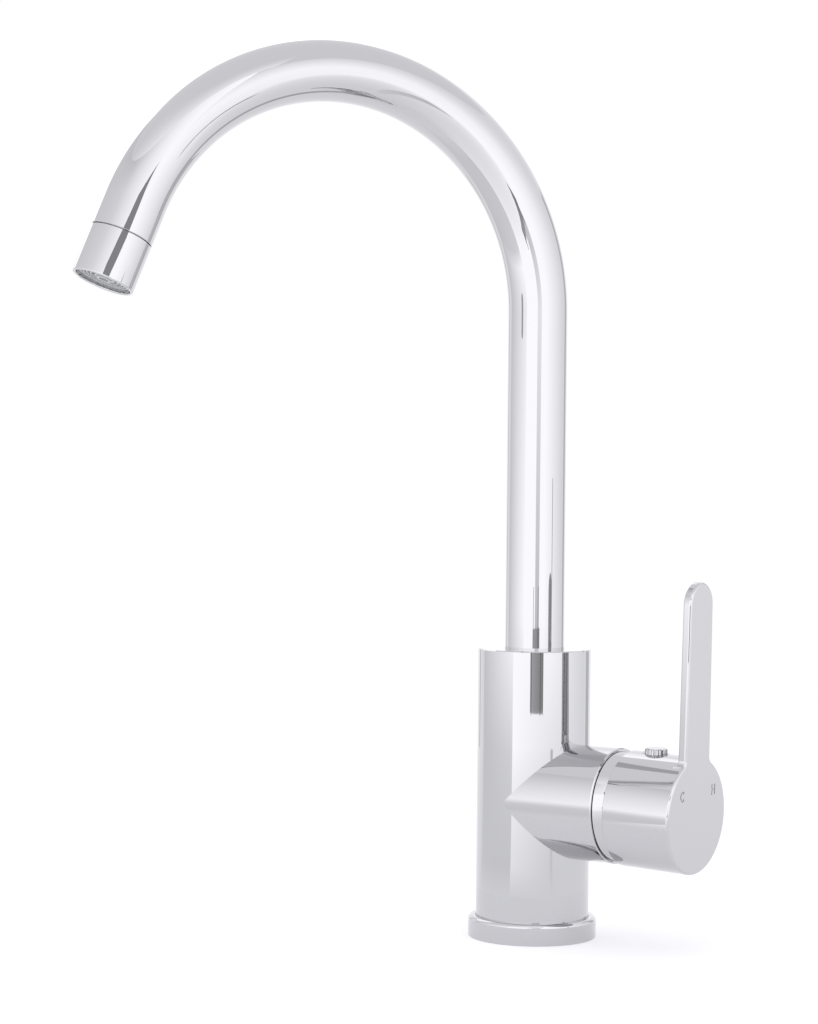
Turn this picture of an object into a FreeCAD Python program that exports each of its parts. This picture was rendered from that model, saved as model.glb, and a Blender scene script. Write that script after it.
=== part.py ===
import FreeCAD, Part
import math
import os

from FreeCAD import Placement, Rotation, Vector

# A kitchen mixer tap with one side lever and a separate way for filtered water.
# The origin is the centre of the flange's underside, on the worktop, and +Z is up.
# +X is the axis of the side branch that holds the valve. The user stands at -Y.
# Lengths are in millimetres and angles in degrees.

# Driving dimensions of the outside
COLUMN_R = 23.85
COLUMN_TOP = 121.5
FLANGE_R = 27.05
FLANGE_H = 9.0
FLANGE_LIP = 3.0
BRANCH_Z = 58.2
BRANCH_END = 42.5
SPOUT_R = 12.5
SPOUT_WALL = 1.2
SPOUT_AZIMUTH = 242.0
ARC_R = 93.86
ARC_Z = 263.4
ARC_TURN = 157.7
OUTLET_RUN = 14.4
NOZZLE_LENGTH = 20.15
JOINT_LINE = 0.25
HUB_R = 23.9
HUB_BACK = 48.0
HUB_FRONT = 78.6
BLADE_TOP = 95.0
BLADE_WIDTH_TOP = 18.6
BLADE_TAPER = 0.7
BLADE_THICK = 3.9
BUTTON_X = 59.0
BUTTON_R = 4.7
BUTTON_PROUD = 2.0

# The lever tilts about a pin inside the branch, and stands a little off centre at rest
PIVOT_X = 36.0
REST_TILT = 1.9
REST_TURN = 1.5

# Driving dimensions of the inside
SEAT_X = 0.0
CHAMBER_R = 17.8
MOUTH_R = 19.6
MOUTH_X = 31.0
HOSE_CAVITY_R = 20.0
HOSE_CAVITY_TOP = 28.0
HOSE_THREAD_R = 4.5
HOSE_THREAD_DEPTH = 11.0
STUD_THREAD_R = 3.4
STUD_THREAD_DEPTH = 10.0
STUD_X = 12.0
FIT = 0.05

# The turning joint under the spout, and the filtered water's own joint inside it
SOCKET_R = 12.56
SOCKET_FLOOR = 89.0
PLENUM_FLOOR = 83.0
PLENUM_R = 10.5
BOSS_R = 6.0
BOSS_TOP = 97.0
FOOT_TOP = 117.5
FOOT_BORE_R = 8.5
BEARING_BANDS = ((90.8, 94.0), (112.2, 116.0))
SEAL_HEIGHTS = (97.0, 108.0)
SEAL_SECTION_R = 1.15
SCREW_Z = 101.0
SCREW_R = 2.5
SCREW_TIP_X = 10.9
INNER_TUBE_R = 4.0
INNER_TUBE_WALL = 1.2
PLUG_R = 4.1
PLUG_LOW = 84.5
PLUG_TOP = 99.5
PLUG_SEAL_HEIGHTS = (87.0, 91.5)
PLUG_GROOVE_R = 2.5
PLUG_SEAL_SECTION_R = 0.75

# The outlet, measured from the end of the gooseneck's arc
TUBE_END_GAP = 6.0
NOZZLE_START = OUTLET_RUN + JOINT_LINE
NOZZLE_END = OUTLET_RUN + NOZZLE_LENGTH
NOZZLE_THREAD_R = 11.2
NOZZLE_LIP_R = 11.0
INSERT_FACE = NOZZLE_END - 1.8
JET_R = 3.2

# The ceramic valve, measured along the branch from the seat
HOUSING_R = 17.6
HOUSING_BORE_R = 16.0
SEAL_SEAT = 1.3
BASE_END = 5.5
FIXED_DISC_END = 9.5
MOVING_DISC_END = 13.0
CARRIER_END = 18.2
TURRET_START = 18.8
TURRET_STEP = 26.5
TURRET_END = 40.5
NECK_R = 11.8
DISC_R = 10.4
DISC_DROP = 1.0
PIN_R = 2.0
STEM_SIZE = 8.0
BALL_R = 2.8
BALL_ARM = 20.0
DOME_R = 23.5
DOME_WALL = 1.6
DOME_HOLE_ANGLE = 35.0

# Inside the handle, measured from the hub's axis
CAVITY_R = 25.1
BEZEL_R = 5.6
BUTTON_FLANGE_LOW = 20.2
SPRING_FLOOR = 16.0
GUIDE_R = 2.4
SET_SCREW_X = 67.0
SET_SCREW_R = 2.5
MARK_HEIGHT = 4.4
MARK_STROKE = 0.8
MARK_DEPTH = 0.3
COLD_MARK = (-12.4, 9.4)
HOT_MARK = (13.2, 9.6)

# Water ways in the valve seat: sideways and upward from the branch's axis, and radius
PORTS = {
    "hot": (9.0, -6.0, 2.8),
    "cold": (-9.0, -6.0, 2.8),
    "filtered_in": (0.0, -10.5, 2.2),
    "mixed_out": (5.5, 8.5, 2.8),
    "filtered_out": (-6.5, 8.0, 2.0),
}

UP = Vector(0, 0, 1)
ALONG = Vector(1, 0, 0)
ACROSS = Vector(0, 1, 0)
ORIGIN = Vector(0, 0, 0)
PIVOT = Vector(PIVOT_X, 0, BRANCH_Z)


def save(name, shape):
    """Writes one piece to its own file."""
    shape.exportStep("parts/" + name + ".step")


def upright(radius, low, high, x=0.0, y=0.0):
    """A rod standing on the Z direction."""
    return Part.makeCylinder(radius, high - low, Vector(x, y, low), UP)


def along(radius, start, end, y=0.0, z=BRANCH_Z):
    """A rod lying on the X direction, by default on the branch's axis."""
    return Part.makeCylinder(radius, end - start, Vector(start, y, z), ALONG)


def upright_ring(outer, inner, low, high):
    return upright(outer, low, high).cut(upright(inner, low - 1, high + 1))


def lying_ring(outer, inner, start, end):
    return along(outer, start, end).cut(along(inner, start - 1, end + 1))


def block(x, y, z):
    """A box from three pairs of limits."""
    corner = Vector(x[0], y[0], z[0])
    return Part.makeBox(x[1] - x[0], y[1] - y[0], z[1] - z[0], corner)


def o_ring(mean_r, section_r, centre, axis):
    return Part.makeTorus(mean_r, section_r, centre, axis)


def edges_at(shape, test):
    """The edges whose bounding box and length satisfy a test."""
    return [edge for edge in shape.Edges if test(edge.BoundBox)]


def flat_at(value, limit_low, limit_high, tolerance=0.01):
    return abs(limit_low - value) < tolerance and abs(limit_high - value) < tolerance


def level_edges(shape, z):
    return edges_at(shape, lambda box: flat_at(z, box.ZMin, box.ZMax))


def facing_edges(shape, x):
    return edges_at(shape, lambda box: flat_at(x, box.XMin, box.XMax))


def swung(shape):
    """Turns a spout piece, drawn in the XZ plane, to where the spout points at rest."""
    return shape.rotated(ORIGIN, UP, SPOUT_AZIMUTH)


def turned(shape):
    """Turns a piece with the lever towards the cold side."""
    return shape.rotated(PIVOT, ALONG, REST_TURN)


def tilted(shape):
    """Tilts a lever piece nose down about the pin, then turns it."""
    return turned(shape.rotated(PIVOT, ACROSS, REST_TILT))


# The foot of the tap

def base_flange():
    """A turned ring that the column stands in, with a groove under it for the gasket."""
    top_round = 1.8
    foot_round = 0.6
    ring = upright(FLANGE_R, 0, FLANGE_H)
    ring = ring.makeFillet(top_round, level_edges(ring, FLANGE_H))
    ring = ring.makeFillet(foot_round, level_edges(ring, 0))
    ring = ring.cut(upright(HOSE_CAVITY_R, -1, FLANGE_H + 1))
    ring = ring.cut(upright(COLUMN_R + FIT, FLANGE_LIP, FLANGE_H + 1))
    return ring.cut(gasket_ring())


def gasket_ring():
    inner_r = 21.5
    outer_r = 25.0
    depth = 1.5
    return upright_ring(outer_r, inner_r, 0, depth)


# The body casting

def hose_thread(x, y):
    return upright(HOSE_THREAD_R, HOSE_CAVITY_TOP - 1, HOSE_CAVITY_TOP + HOSE_THREAD_DEPTH, x, y)


def water_ways():
    """The drillings between the hoses, the valve seat and the spout socket."""
    hose_y = 10.5
    hose_x = -8.0
    filtered_x = -15.0
    outlet_x = -7.0
    drill_r = 3.4
    narrower = 0.2
    drill_point = 0.5
    ways = []
    for name, side in (("hot", 1), ("cold", -1)):
        y, rise, radius = PORTS[name]
        level = BRANCH_Z + rise
        drill_end = level + radius + drill_point
        ways.append(upright(drill_r, HOSE_CAVITY_TOP, drill_end, hose_x, side * hose_y))
        ways.append(hose_thread(hose_x, side * hose_y))
        ways.append(along(radius, hose_x, SEAT_X + 1, y, level))
    y, rise, radius = PORTS["filtered_in"]
    level = BRANCH_Z + rise
    ways.append(along(radius, filtered_x - radius, SEAT_X + 1, y, level))
    ways.append(upright(radius - narrower, HOSE_CAVITY_TOP, level, filtered_x, y))
    ways.append(hose_thread(filtered_x, y))
    y, rise, radius = PORTS["mixed_out"]
    level = BRANCH_Z + rise
    ways.append(along(radius, outlet_x - radius, SEAT_X + 1, y, level))
    ways.append(upright(radius - narrower, level, PLENUM_FLOOR + 1, outlet_x, y))
    y, rise, radius = PORTS["filtered_out"]
    level = BRANCH_Z + rise
    cross_z = PLENUM_FLOOR - radius - 0.7
    ways.append(along(radius, outlet_x - radius, SEAT_X + 1, y, level))
    ways.append(upright(radius - narrower, level, cross_z, outlet_x, y))
    inward = Vector(-outlet_x, -y, 0).normalize()
    cross_start = Vector(outlet_x, y, cross_z) - inward * radius
    cross_length = math.hypot(outlet_x, y) + 2 * radius
    ways.append(Part.makeCylinder(radius, cross_length, cross_start, inward))
    ways.append(upright(radius - narrower, cross_z, PLENUM_FLOOR + 1))
    return ways


def tap_body():
    """The brass casting: column and branch of one diameter, drilled for water and valve."""
    edge_break = 0.4
    column = upright(COLUMN_R, FLANGE_LIP, COLUMN_TOP)
    column = column.makeChamfer(edge_break, level_edges(column, COLUMN_TOP))
    branch = along(COLUMN_R, 0, BRANCH_END)
    branch = branch.makeChamfer(edge_break, facing_edges(branch, BRANCH_END))
    body = column.fuse(branch)
    body = body.cut(upright(HOSE_CAVITY_R, FLANGE_LIP - 1, HOSE_CAVITY_TOP))
    body = body.cut(along(CHAMBER_R, SEAT_X, BRANCH_END + 1))
    body = body.cut(along(MOUTH_R, MOUTH_X, BRANCH_END + 1))
    body = body.cut(upright(SOCKET_R, SOCKET_FLOOR, COLUMN_TOP + 1))
    plenum = upright(PLENUM_R, PLENUM_FLOOR, SOCKET_FLOOR + 1)
    body = body.cut(plenum)
    boss = upright(BOSS_R, PLENUM_FLOOR - 0.5, BOSS_TOP)
    body = body.fuse(boss)
    body = body.cut(upright(PLUG_R, PLENUM_FLOOR + 1, BOSS_TOP + 1))
    body = body.cut(upright(STUD_THREAD_R, HOSE_CAVITY_TOP - 1,
                            HOSE_CAVITY_TOP + STUD_THREAD_DEPTH, STUD_X, 0))
    for way in water_ways():
        body = body.cut(way)
    return body.cut(retaining_screw_hole())


# The turning joint under the spout

def retaining_screw_hole():
    return along(SCREW_R + FIT, -COLUMN_R - 1, -SPOUT_R + 1, 0, SCREW_Z)


def hex_recess(size, depth, start, direction):
    """The six-sided socket in the end of a grub screw."""
    corner_r = size / math.sqrt(3)
    points = []
    for step in range(7):
        angle = math.radians(60 * step)
        points.append(Vector(corner_r * math.cos(angle), corner_r * math.sin(angle), 0))
    face = Part.Face(Part.makePolygon(points))
    prism = face.extrude(Vector(0, 0, depth))
    prism.Placement = Placement(start, Rotation(UP, direction))
    return prism


def spout_retaining_screw():
    """A grub screw in the back of the column whose tip runs in a groove of the spout foot."""
    head_x = -COLUMN_R + 0.6
    screw = along(SCREW_R, head_x, -SCREW_TIP_X, 0, SCREW_Z)
    return screw.cut(hex_recess(2.5, 3.0, Vector(head_x, 0, SCREW_Z), ALONG))


def thrust_washer():
    inner_r = 9.4
    return upright_ring(SOCKET_R - 0.1, inner_r, SOCKET_FLOOR, SOCKET_FLOOR + 1)


def spout_foot():
    """The brass spigot brazed into the tube, grooved for two seals, two bearings and a screw."""
    washer_top = SOCKET_FLOOR + 1
    spigot_top = 131.0
    spigot_r = SPOUT_R - SPOUT_WALL
    seal_groove_r = 10.15
    bearing_groove_r = 11.0
    screw_groove_r = 10.5
    foot = upright(SPOUT_R - 0.05, washer_top, FOOT_TOP)
    foot = foot.fuse(upright(spigot_r - 0.02, FOOT_TOP - 1, spigot_top))
    foot = foot.cut(upright(FOOT_BORE_R, washer_top - 1, spigot_top + 1))
    for low, high in BEARING_BANDS:
        foot = foot.cut(upright_ring(SPOUT_R + 1, bearing_groove_r, low, high))
    for height in SEAL_HEIGHTS:
        low = height - SEAL_SECTION_R - 0.15
        high = height + SEAL_SECTION_R + 0.15
        foot = foot.cut(upright_ring(SPOUT_R + 1, seal_groove_r, low, high))
    screw_low = SCREW_Z - SCREW_R - 0.3
    screw_high = SCREW_Z + SCREW_R + 0.3
    foot = foot.cut(upright_ring(SPOUT_R + 1, screw_groove_r, screw_low, screw_high))
    return swung(foot)


def spout_bearing_rings():
    """Two split plastic rings that keep the metal of the foot off the metal of the column."""
    split = 0.8
    rings = []
    for low, high in BEARING_BANDS:
        ring = upright_ring(SPOUT_R + 0.02, 11.05, low + 0.1, high - 0.1)
        gap = block((0, SPOUT_R + 1), (-split / 2, split / 2), (low - 1, high + 1))
        rings.append(ring.cut(gap))
    return swung(Part.makeCompound(rings))


def spout_o_rings():
    mean_r = 11.3
    rings = [o_ring(mean_r, SEAL_SECTION_R, Vector(0, 0, z), UP) for z in SEAL_HEIGHTS]
    return swung(Part.makeCompound(rings))


# The gooseneck, drawn in the XZ plane with the outlet towards +X

def arc_centre():
    return Vector(ARC_R, 0, ARC_Z)


def arc_end():
    angle = math.radians(ARC_TURN)
    return Vector(ARC_R * (1 - math.cos(angle)), 0, ARC_Z + ARC_R * math.sin(angle))


def outlet_direction():
    angle = math.radians(ARC_TURN)
    return Vector(math.sin(angle), 0, math.cos(angle))


def at_outlet(shape):
    """Moves a piece drawn on +Z from the arc's end to the outlet, flow direction on +Z."""
    placed = shape.copy()
    placed.Placement = Placement(arc_end(), Rotation(UP, outlet_direction())).multiply(placed.Placement)
    return swung(placed)


def neck(radius, low, run):
    """A round bar up the riser, round the arc and down the outlet run."""
    riser = upright(radius, low, ARC_Z)
    section = Part.Face(Part.Wire(Part.makeCircle(radius, Vector(0, 0, ARC_Z), UP)))
    arc = section.revolve(arc_centre(), ACROSS, ARC_TURN)
    end = Part.makeCylinder(radius, run, arc_end(), outlet_direction())
    return riser.fuse(arc).fuse(end)


def spout_tube():
    """The bent brass tube, open at both ends."""
    inner_r = SPOUT_R - SPOUT_WALL
    bore = neck(inner_r, FOOT_TOP - 1, OUTLET_RUN + 1)
    return swung(neck(SPOUT_R, FOOT_TOP, OUTLET_RUN).cut(bore))


def filtered_tube():
    """The plastic tube that keeps filtered water apart, along the middle of the gooseneck."""
    run = OUTLET_RUN - TUBE_END_GAP
    bore = neck(INNER_TUBE_R - INNER_TUBE_WALL, PLUG_TOP - 1, run + 1)
    return swung(neck(INNER_TUBE_R, PLUG_TOP, run).cut(bore))


def filtered_tube_plug():
    """The brass end of the inner tube, which turns in the bore of the column's boss."""
    bore_r = 1.8
    barb_r = INNER_TUBE_R - INNER_TUBE_WALL - 0.02
    collar_r = 5.2
    plug = upright(PLUG_R - 0.06, PLUG_LOW, BOSS_TOP + 0.5)
    plug = plug.fuse(upright(collar_r, BOSS_TOP + 0.5, PLUG_TOP))
    plug = plug.fuse(upright(barb_r, PLUG_TOP - 0.5, PLUG_TOP + 7))
    plug = plug.cut(upright(bore_r, PLUG_LOW - 1, PLUG_TOP + 8))
    for height in PLUG_SEAL_HEIGHTS:
        plug = plug.cut(upright_ring(PLUG_R + 1, PLUG_GROOVE_R, height - 1.0, height + 1.0))
    return swung(plug)


def plug_o_rings():
    mean_r = PLUG_GROOVE_R + PLUG_SEAL_SECTION_R + 0.02
    rings = [o_ring(mean_r, PLUG_SEAL_SECTION_R, Vector(0, 0, z), UP) for z in PLUG_SEAL_HEIGHTS]
    return swung(Part.makeCompound(rings))


# The outlet, drawn on +Z from the end of the arc

def nozzle_core():
    """The brass insert brazed in the tube's end: thread outside, filtered water in the middle."""
    core_start = OUTLET_RUN - TUBE_END_GAP
    core_end = NOZZLE_START + 8.0
    spoke_end = OUTLET_RUN
    socket_r = INNER_TUBE_R + 1.5
    spoke_width = 2.0
    core = upright_ring(SPOUT_R - SPOUT_WALL - 0.02, 9.0, core_start, OUTLET_RUN)
    core = core.fuse(upright_ring(NOZZLE_THREAD_R - 0.05, 9.0, OUTLET_RUN - 1, core_end))
    for turn in (0, 120, 240):
        spoke = block((socket_r - 1, 9.5), (-spoke_width / 2, spoke_width / 2), (core_start, spoke_end))
        core = core.fuse(spoke.rotated(ORIGIN, UP, turn))
    core = core.fuse(upright(socket_r, core_start - 4, core_end))
    core = core.cut(upright(INNER_TUBE_R + 0.02, core_start - 5, core_start))
    core = core.cut(upright(2.6, core_start - 5, core_end - 5))
    core = core.cut(upright(JET_R, core_end - 5, core_end + 1))
    return at_outlet(core)


def nozzle_sleeve():
    """The chromed end of the spout, screwed over the core, with a thin rim round the outlet."""
    edge_break = 0.3
    rim_round = 0.55
    sleeve = upright(SPOUT_R, NOZZLE_START, NOZZLE_END)
    sleeve = sleeve.makeChamfer(edge_break, level_edges(sleeve, NOZZLE_START))
    sleeve = sleeve.makeFillet(rim_round, level_edges(sleeve, NOZZLE_END))
    return at_outlet(sleeve.cut(upright(NOZZLE_LIP_R + 0.2, NOZZLE_START - 1, NOZZLE_END + 1)))


def aerator_seal():
    return at_outlet(upright_ring(NOZZLE_LIP_R, 9.0, NOZZLE_START + 8.0, NOZZLE_START + 9.2))


def aerator_housing():
    """The moulded cup that holds the screens, its ribbed face set back from the rim."""
    wall_r = 9.6
    rib_pitch = 1.5
    rib_width = 0.6
    back = NOZZLE_START + 9.2
    cup = upright_ring(NOZZLE_LIP_R, wall_r, back, INSERT_FACE)
    hub = upright_ring(JET_R + 1.0, JET_R + 0.05, INSERT_FACE - 5, INSERT_FACE)
    cup = cup.fuse(hub)
    radius = JET_R + 1.0 + rib_pitch
    while radius < wall_r:
        cup = cup.fuse(upright_ring(radius + rib_width / 2, radius - rib_width / 2,
                                    INSERT_FACE - 2.5, INSERT_FACE))
        radius = radius + rib_pitch
    for turn in range(0, 360, 60):
        bar = block((JET_R + 0.5, wall_r + 0.5), (-0.4, 0.4), (INSERT_FACE - 2.5, INSERT_FACE - 0.4))
        cup = cup.fuse(bar.rotated(ORIGIN, UP, turn))
    return at_outlet(cup)


def aerator_screen():
    """A pierced stainless disc behind the ribs."""
    outer_r = 9.4
    thickness = 0.4
    hole_r = 0.55
    plate = upright_ring(outer_r, JET_R + 0.2, INSERT_FACE - 5.6, INSERT_FACE - 5.6 + thickness)
    for row_r, count in ((5.0, 14), (6.6, 18), (8.2, 22)):
        holes = []
        for step in range(count):
            angle = 2 * math.pi * step / count
            holes.append(upright(hole_r, INSERT_FACE - 7, INSERT_FACE - 4,
                                 row_r * math.cos(angle), row_r * math.sin(angle)))
        plate = plate.cut(Part.makeCompound(holes))
    return at_outlet(plate)


def filtered_jet():
    """The small nozzle in the middle of the aerator, pushed into the core."""
    start = NOZZLE_START + 3.2
    jet = upright(JET_R - 0.03, start, INSERT_FACE + 0.6)
    jet = jet.makeFillet(0.4, level_edges(jet, INSERT_FACE + 0.6))
    return at_outlet(jet.cut(upright(2.0, start - 1, INSERT_FACE + 2)))


# The ceramic valve in the branch

def port_rods(start, end, extra=0.0):
    return [along(r + extra, start, end, y, BRANCH_Z + rise) for y, rise, r in PORTS.values()]


def cartridge_housing():
    """The moulded shell of the valve, open at the seat and necked at the front."""
    housing = along(HOUSING_R, 1.0, MOUTH_X)
    housing = housing.cut(along(HOUSING_BORE_R, 0, TURRET_STEP + 0.6))
    return housing.cut(along(NECK_R + 0.1, TURRET_STEP, MOUTH_X + 1))


def cartridge_base():
    """The plug at the back of the valve, with a water way and a seal seat at each port."""
    base = along(HOUSING_BORE_R - FIT, SEAT_X + 0.4, BASE_END)
    for rod in port_rods(-1, BASE_END + 1):
        base = base.cut(rod)
    for rod in port_rods(-1, SEAT_X + 1.6, SEAL_SEAT):
        base = base.cut(rod)
    return base


def base_seals():
    """A round rubber seal at each port, pressed against the seat of the casting."""
    seals = []
    for y, rise, radius in PORTS.values():
        outer = along(radius + SEAL_SEAT - 0.05, SEAT_X, SEAT_X + 1.55, y, BRANCH_Z + rise)
        seals.append(outer.cut(along(radius, -1, 3, y, BRANCH_Z + rise)))
    return Part.makeCompound(seals)


def fixed_ceramic_disc():
    disc = along(HOUSING_BORE_R - 0.2, BASE_END, FIXED_DISC_END)
    for rod in port_rods(BASE_END - 1, FIXED_DISC_END + 1):
        disc = disc.cut(rod)
    return disc


def moving_ceramic_disc():
    """The disc that slides on the fixed one, hollowed where it joins two ports."""
    hollow_depth = 2.2
    hollow_r = 5.0
    centre_z = BRANCH_Z - DISC_DROP
    disc = along(DISC_R, FIXED_DISC_END, MOVING_DISC_END, 0, centre_z)
    hollow = along(hollow_r, FIXED_DISC_END - 1, FIXED_DISC_END + hollow_depth, 0, centre_z + 1.5)
    return turned(disc.cut(hollow))


def ball_centre():
    """Where the stem's ball stands at rest, before the lever's small turn."""
    angle = math.radians(REST_TILT)
    return Vector(PIVOT_X - BALL_ARM * math.cos(angle), 0, BRANCH_Z + BALL_ARM * math.sin(angle))


def disc_carrier():
    """The plastic piece that the ball pushes, with the ceramic disc fixed to its back."""
    centre_z = BRANCH_Z - DISC_DROP
    carrier = along(DISC_R, MOVING_DISC_END, CARRIER_END, 0, centre_z)
    pocket = along(BALL_R + 0.3, MOVING_DISC_END - 1, CARRIER_END + 1, 0, ball_centre().z)
    return turned(carrier.cut(pocket))


def cartridge_turret():
    """The part of the valve that turns with the lever and carries its pin."""
    slot_half = 3.3
    turret = along(HOUSING_BORE_R - 0.3, TURRET_START, TURRET_STEP)
    turret = turret.fuse(along(NECK_R, TURRET_STEP - 1, TURRET_END))
    deep = block((TURRET_START - 1, 29.5), (-slot_half, slot_half), (BRANCH_Z - 7.0, BRANCH_Z + 10.5))
    front = block((29.0, TURRET_END + 1), (-slot_half, slot_half), (BRANCH_Z - 7.5, BRANCH_Z + 7.5))
    mouth_half = STEM_SIZE / 2 + 0.3
    mouth = block((TURRET_END - 1.5, TURRET_END + 1), (-mouth_half, mouth_half),
                  (BRANCH_Z - 7.5, BRANCH_Z + 7.5))
    turret = turret.cut(deep).cut(front).cut(mouth)
    return turned(turret.cut(across_pin(PIN_R, NECK_R + 1)))


def across_pin(radius, half_length):
    start = Vector(PIVOT_X, -half_length, BRANCH_Z)
    return Part.makeCylinder(radius, 2 * half_length, start, ACROSS)


def pivot_pin():
    return turned(across_pin(PIN_R, NECK_R - 0.8))


def turret_washer():
    return lying_ring(HOUSING_BORE_R - 0.1, NECK_R + 0.5, TURRET_STEP + 0.1, TURRET_STEP + 0.55)


def lever_stem():
    """The steel stem: ball, shank, eye for the pin and square end for the handle."""
    shank_r = 2.2
    eye_r = 5.0
    eye_half = 3.1
    square_start = TURRET_END + 1.0
    square_end = HUB_FRONT - 6.5
    half = STEM_SIZE / 2
    ball = Part.makeSphere(BALL_R, Vector(PIVOT_X - BALL_ARM, 0, BRANCH_Z))
    shank = along(shank_r, PIVOT_X - BALL_ARM, PIVOT_X)
    eye = Part.makeCylinder(eye_r, 2 * eye_half, Vector(PIVOT_X, -eye_half, BRANCH_Z), ACROSS)
    web = block((PIVOT_X, square_start + 1), (-eye_half, eye_half), (BRANCH_Z - half, BRANCH_Z + half))
    square = block((square_start, square_end), (-half, half), (BRANCH_Z - half, BRANCH_Z + half))
    stem = ball.fuse(shank).fuse(eye).fuse(web).fuse(square)
    return tilted(stem.cut(across_pin(PIN_R + FIT, NECK_R)))


def cartridge_nut():
    """The brass ring screwed into the branch to hold the valve down, with six-sided front."""
    hex_size = 30.0
    thread_end = MOUTH_X + 5.5
    nut = along(MOUTH_R - 0.08, MOUTH_X, thread_end)
    front = hex_recess(hex_size, BRANCH_END - 1.5 - thread_end, Vector(thread_end, 0, BRANCH_Z), ALONG)
    nut = nut.fuse(front)
    return nut.cut(along(NECK_R + 0.8, MOUTH_X - 1, BRANCH_END + 1))


def dome_ring():
    """The ball-shaped chromed ring that the handle's rim moves over, centred on the pin."""
    skirt_wall = 1.4
    inner_r = DOME_R - DOME_WALL
    dome_start = BRANCH_END + 0.25
    skirt_start = BRANCH_END - 5.0
    hole_r = DOME_R * math.sin(math.radians(DOME_HOLE_ANGLE))
    reach = PIVOT_X + DOME_R + 1
    dome = Part.makeSphere(DOME_R, PIVOT).cut(Part.makeSphere(inner_r, PIVOT))
    half_space = block((dome_start, reach), (-DOME_R, DOME_R), (BRANCH_Z - DOME_R, BRANCH_Z + DOME_R))
    dome = dome.common(half_space).cut(along(hole_r, PIVOT_X, reach))
    skirt = lying_ring(MOUTH_R - 0.08, MOUTH_R - skirt_wall, skirt_start, dome_start + 1)
    shelf = lying_ring(DOME_R * 0.93, MOUTH_R - skirt_wall, dome_start, dome_start + 1)
    return dome.fuse(shelf).fuse(skirt)


def dome_seal():
    """A thin rubber ring in the line between the branch's mouth and the dome ring."""
    return lying_ring(MOUTH_R + 1.4, MOUTH_R + 0.05, BRANCH_END, BRANCH_END + 0.25)


# The handle, drawn straight on the branch's axis and then tilted to its rest place

def arc_of(centre, radius, start, end):
    """An arc in the plane of the handle's front, from its centre and two angles from +Y."""
    spots = []
    for angle in (start, (start + end) / 2, end):
        y = centre[0] + radius * math.cos(angle)
        z = centre[1] + radius * math.sin(angle)
        spots.append(Vector(HUB_FRONT - BLADE_THICK, y, BRANCH_Z + z))
    return Part.Arc(*spots).toShape()


def line_between(first, last):
    return Part.LineSegment(first.Vertexes[-1].Point, last.Vertexes[0].Point).toShape()


def blade_outline():
    """The handle's front: a round disc running up into a tapered blade with a round end."""
    join_r = 3.0
    taper = math.radians(BLADE_TAPER)
    top_r = BLADE_WIDTH_TOP / 2
    top_centre = BLADE_TOP - top_r
    side = top_r + top_centre * math.sin(taper)
    join_angle = taper + math.acos((side + join_r) / (HUB_R + join_r))
    join_y = (HUB_R + join_r) * math.cos(join_angle)
    join_z = (HUB_R + join_r) * math.sin(join_angle)
    half_turn = math.pi
    full_turn = 2 * math.pi
    disc = arc_of((0, 0), HUB_R, half_turn - join_angle, full_turn + join_angle)
    right_join = arc_of((join_y, join_z), join_r, half_turn + join_angle, half_turn + taper)
    top = arc_of((0, top_centre), top_r, taper, half_turn - taper)
    left_join = arc_of((-join_y, join_z), join_r, -taper, -join_angle)
    right_side = line_between(right_join, top)
    left_side = line_between(top, left_join)
    return Part.Wire([disc, right_join, right_side, top, left_side, left_join])


def cold_mark_cut():
    """The letter C, cut into the handle's front."""
    half = MARK_HEIGHT / 2
    y, z = COLD_MARK
    start = HUB_FRONT - MARK_DEPTH
    height = BRANCH_Z + z
    ring = along(half, start, HUB_FRONT + 1, y, height)
    ring = ring.cut(along(half - MARK_STROKE, start - 1, HUB_FRONT + 2, y, height))
    opening = block((start - 1, HUB_FRONT + 2), (y + 0.9, y + half + 1), (height - 1.1, height + 1.1))
    return ring.cut(opening)


def hot_mark_cut():
    """The letter H, cut into the handle's front."""
    half = MARK_HEIGHT / 2
    y, z = HOT_MARK
    depth = (HUB_FRONT - MARK_DEPTH, HUB_FRONT + 1)
    height = BRANCH_Z + z
    reach = 1.55
    left = block(depth, (y - reach, y - reach + MARK_STROKE), (height - half, height + half))
    right = block(depth, (y + reach - MARK_STROKE, y + reach), (height - half, height + half))
    bar = block(depth, (y - reach, y + reach), (height - MARK_STROKE / 2, height + MARK_STROKE / 2))
    return left.fuse(right).fuse(bar)


def above_hub(radius, low, high):
    """A rod on the button's line, measured outward from the hub's axis."""
    return upright(radius, BRANCH_Z + low, BRANCH_Z + high, BUTTON_X, 0)


def below_hub(radius, near, far):
    """A rod on the set screw's line, under the hub."""
    return upright(radius, BRANCH_Z - far, BRANCH_Z - near, SET_SCREW_X, 0)


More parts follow.
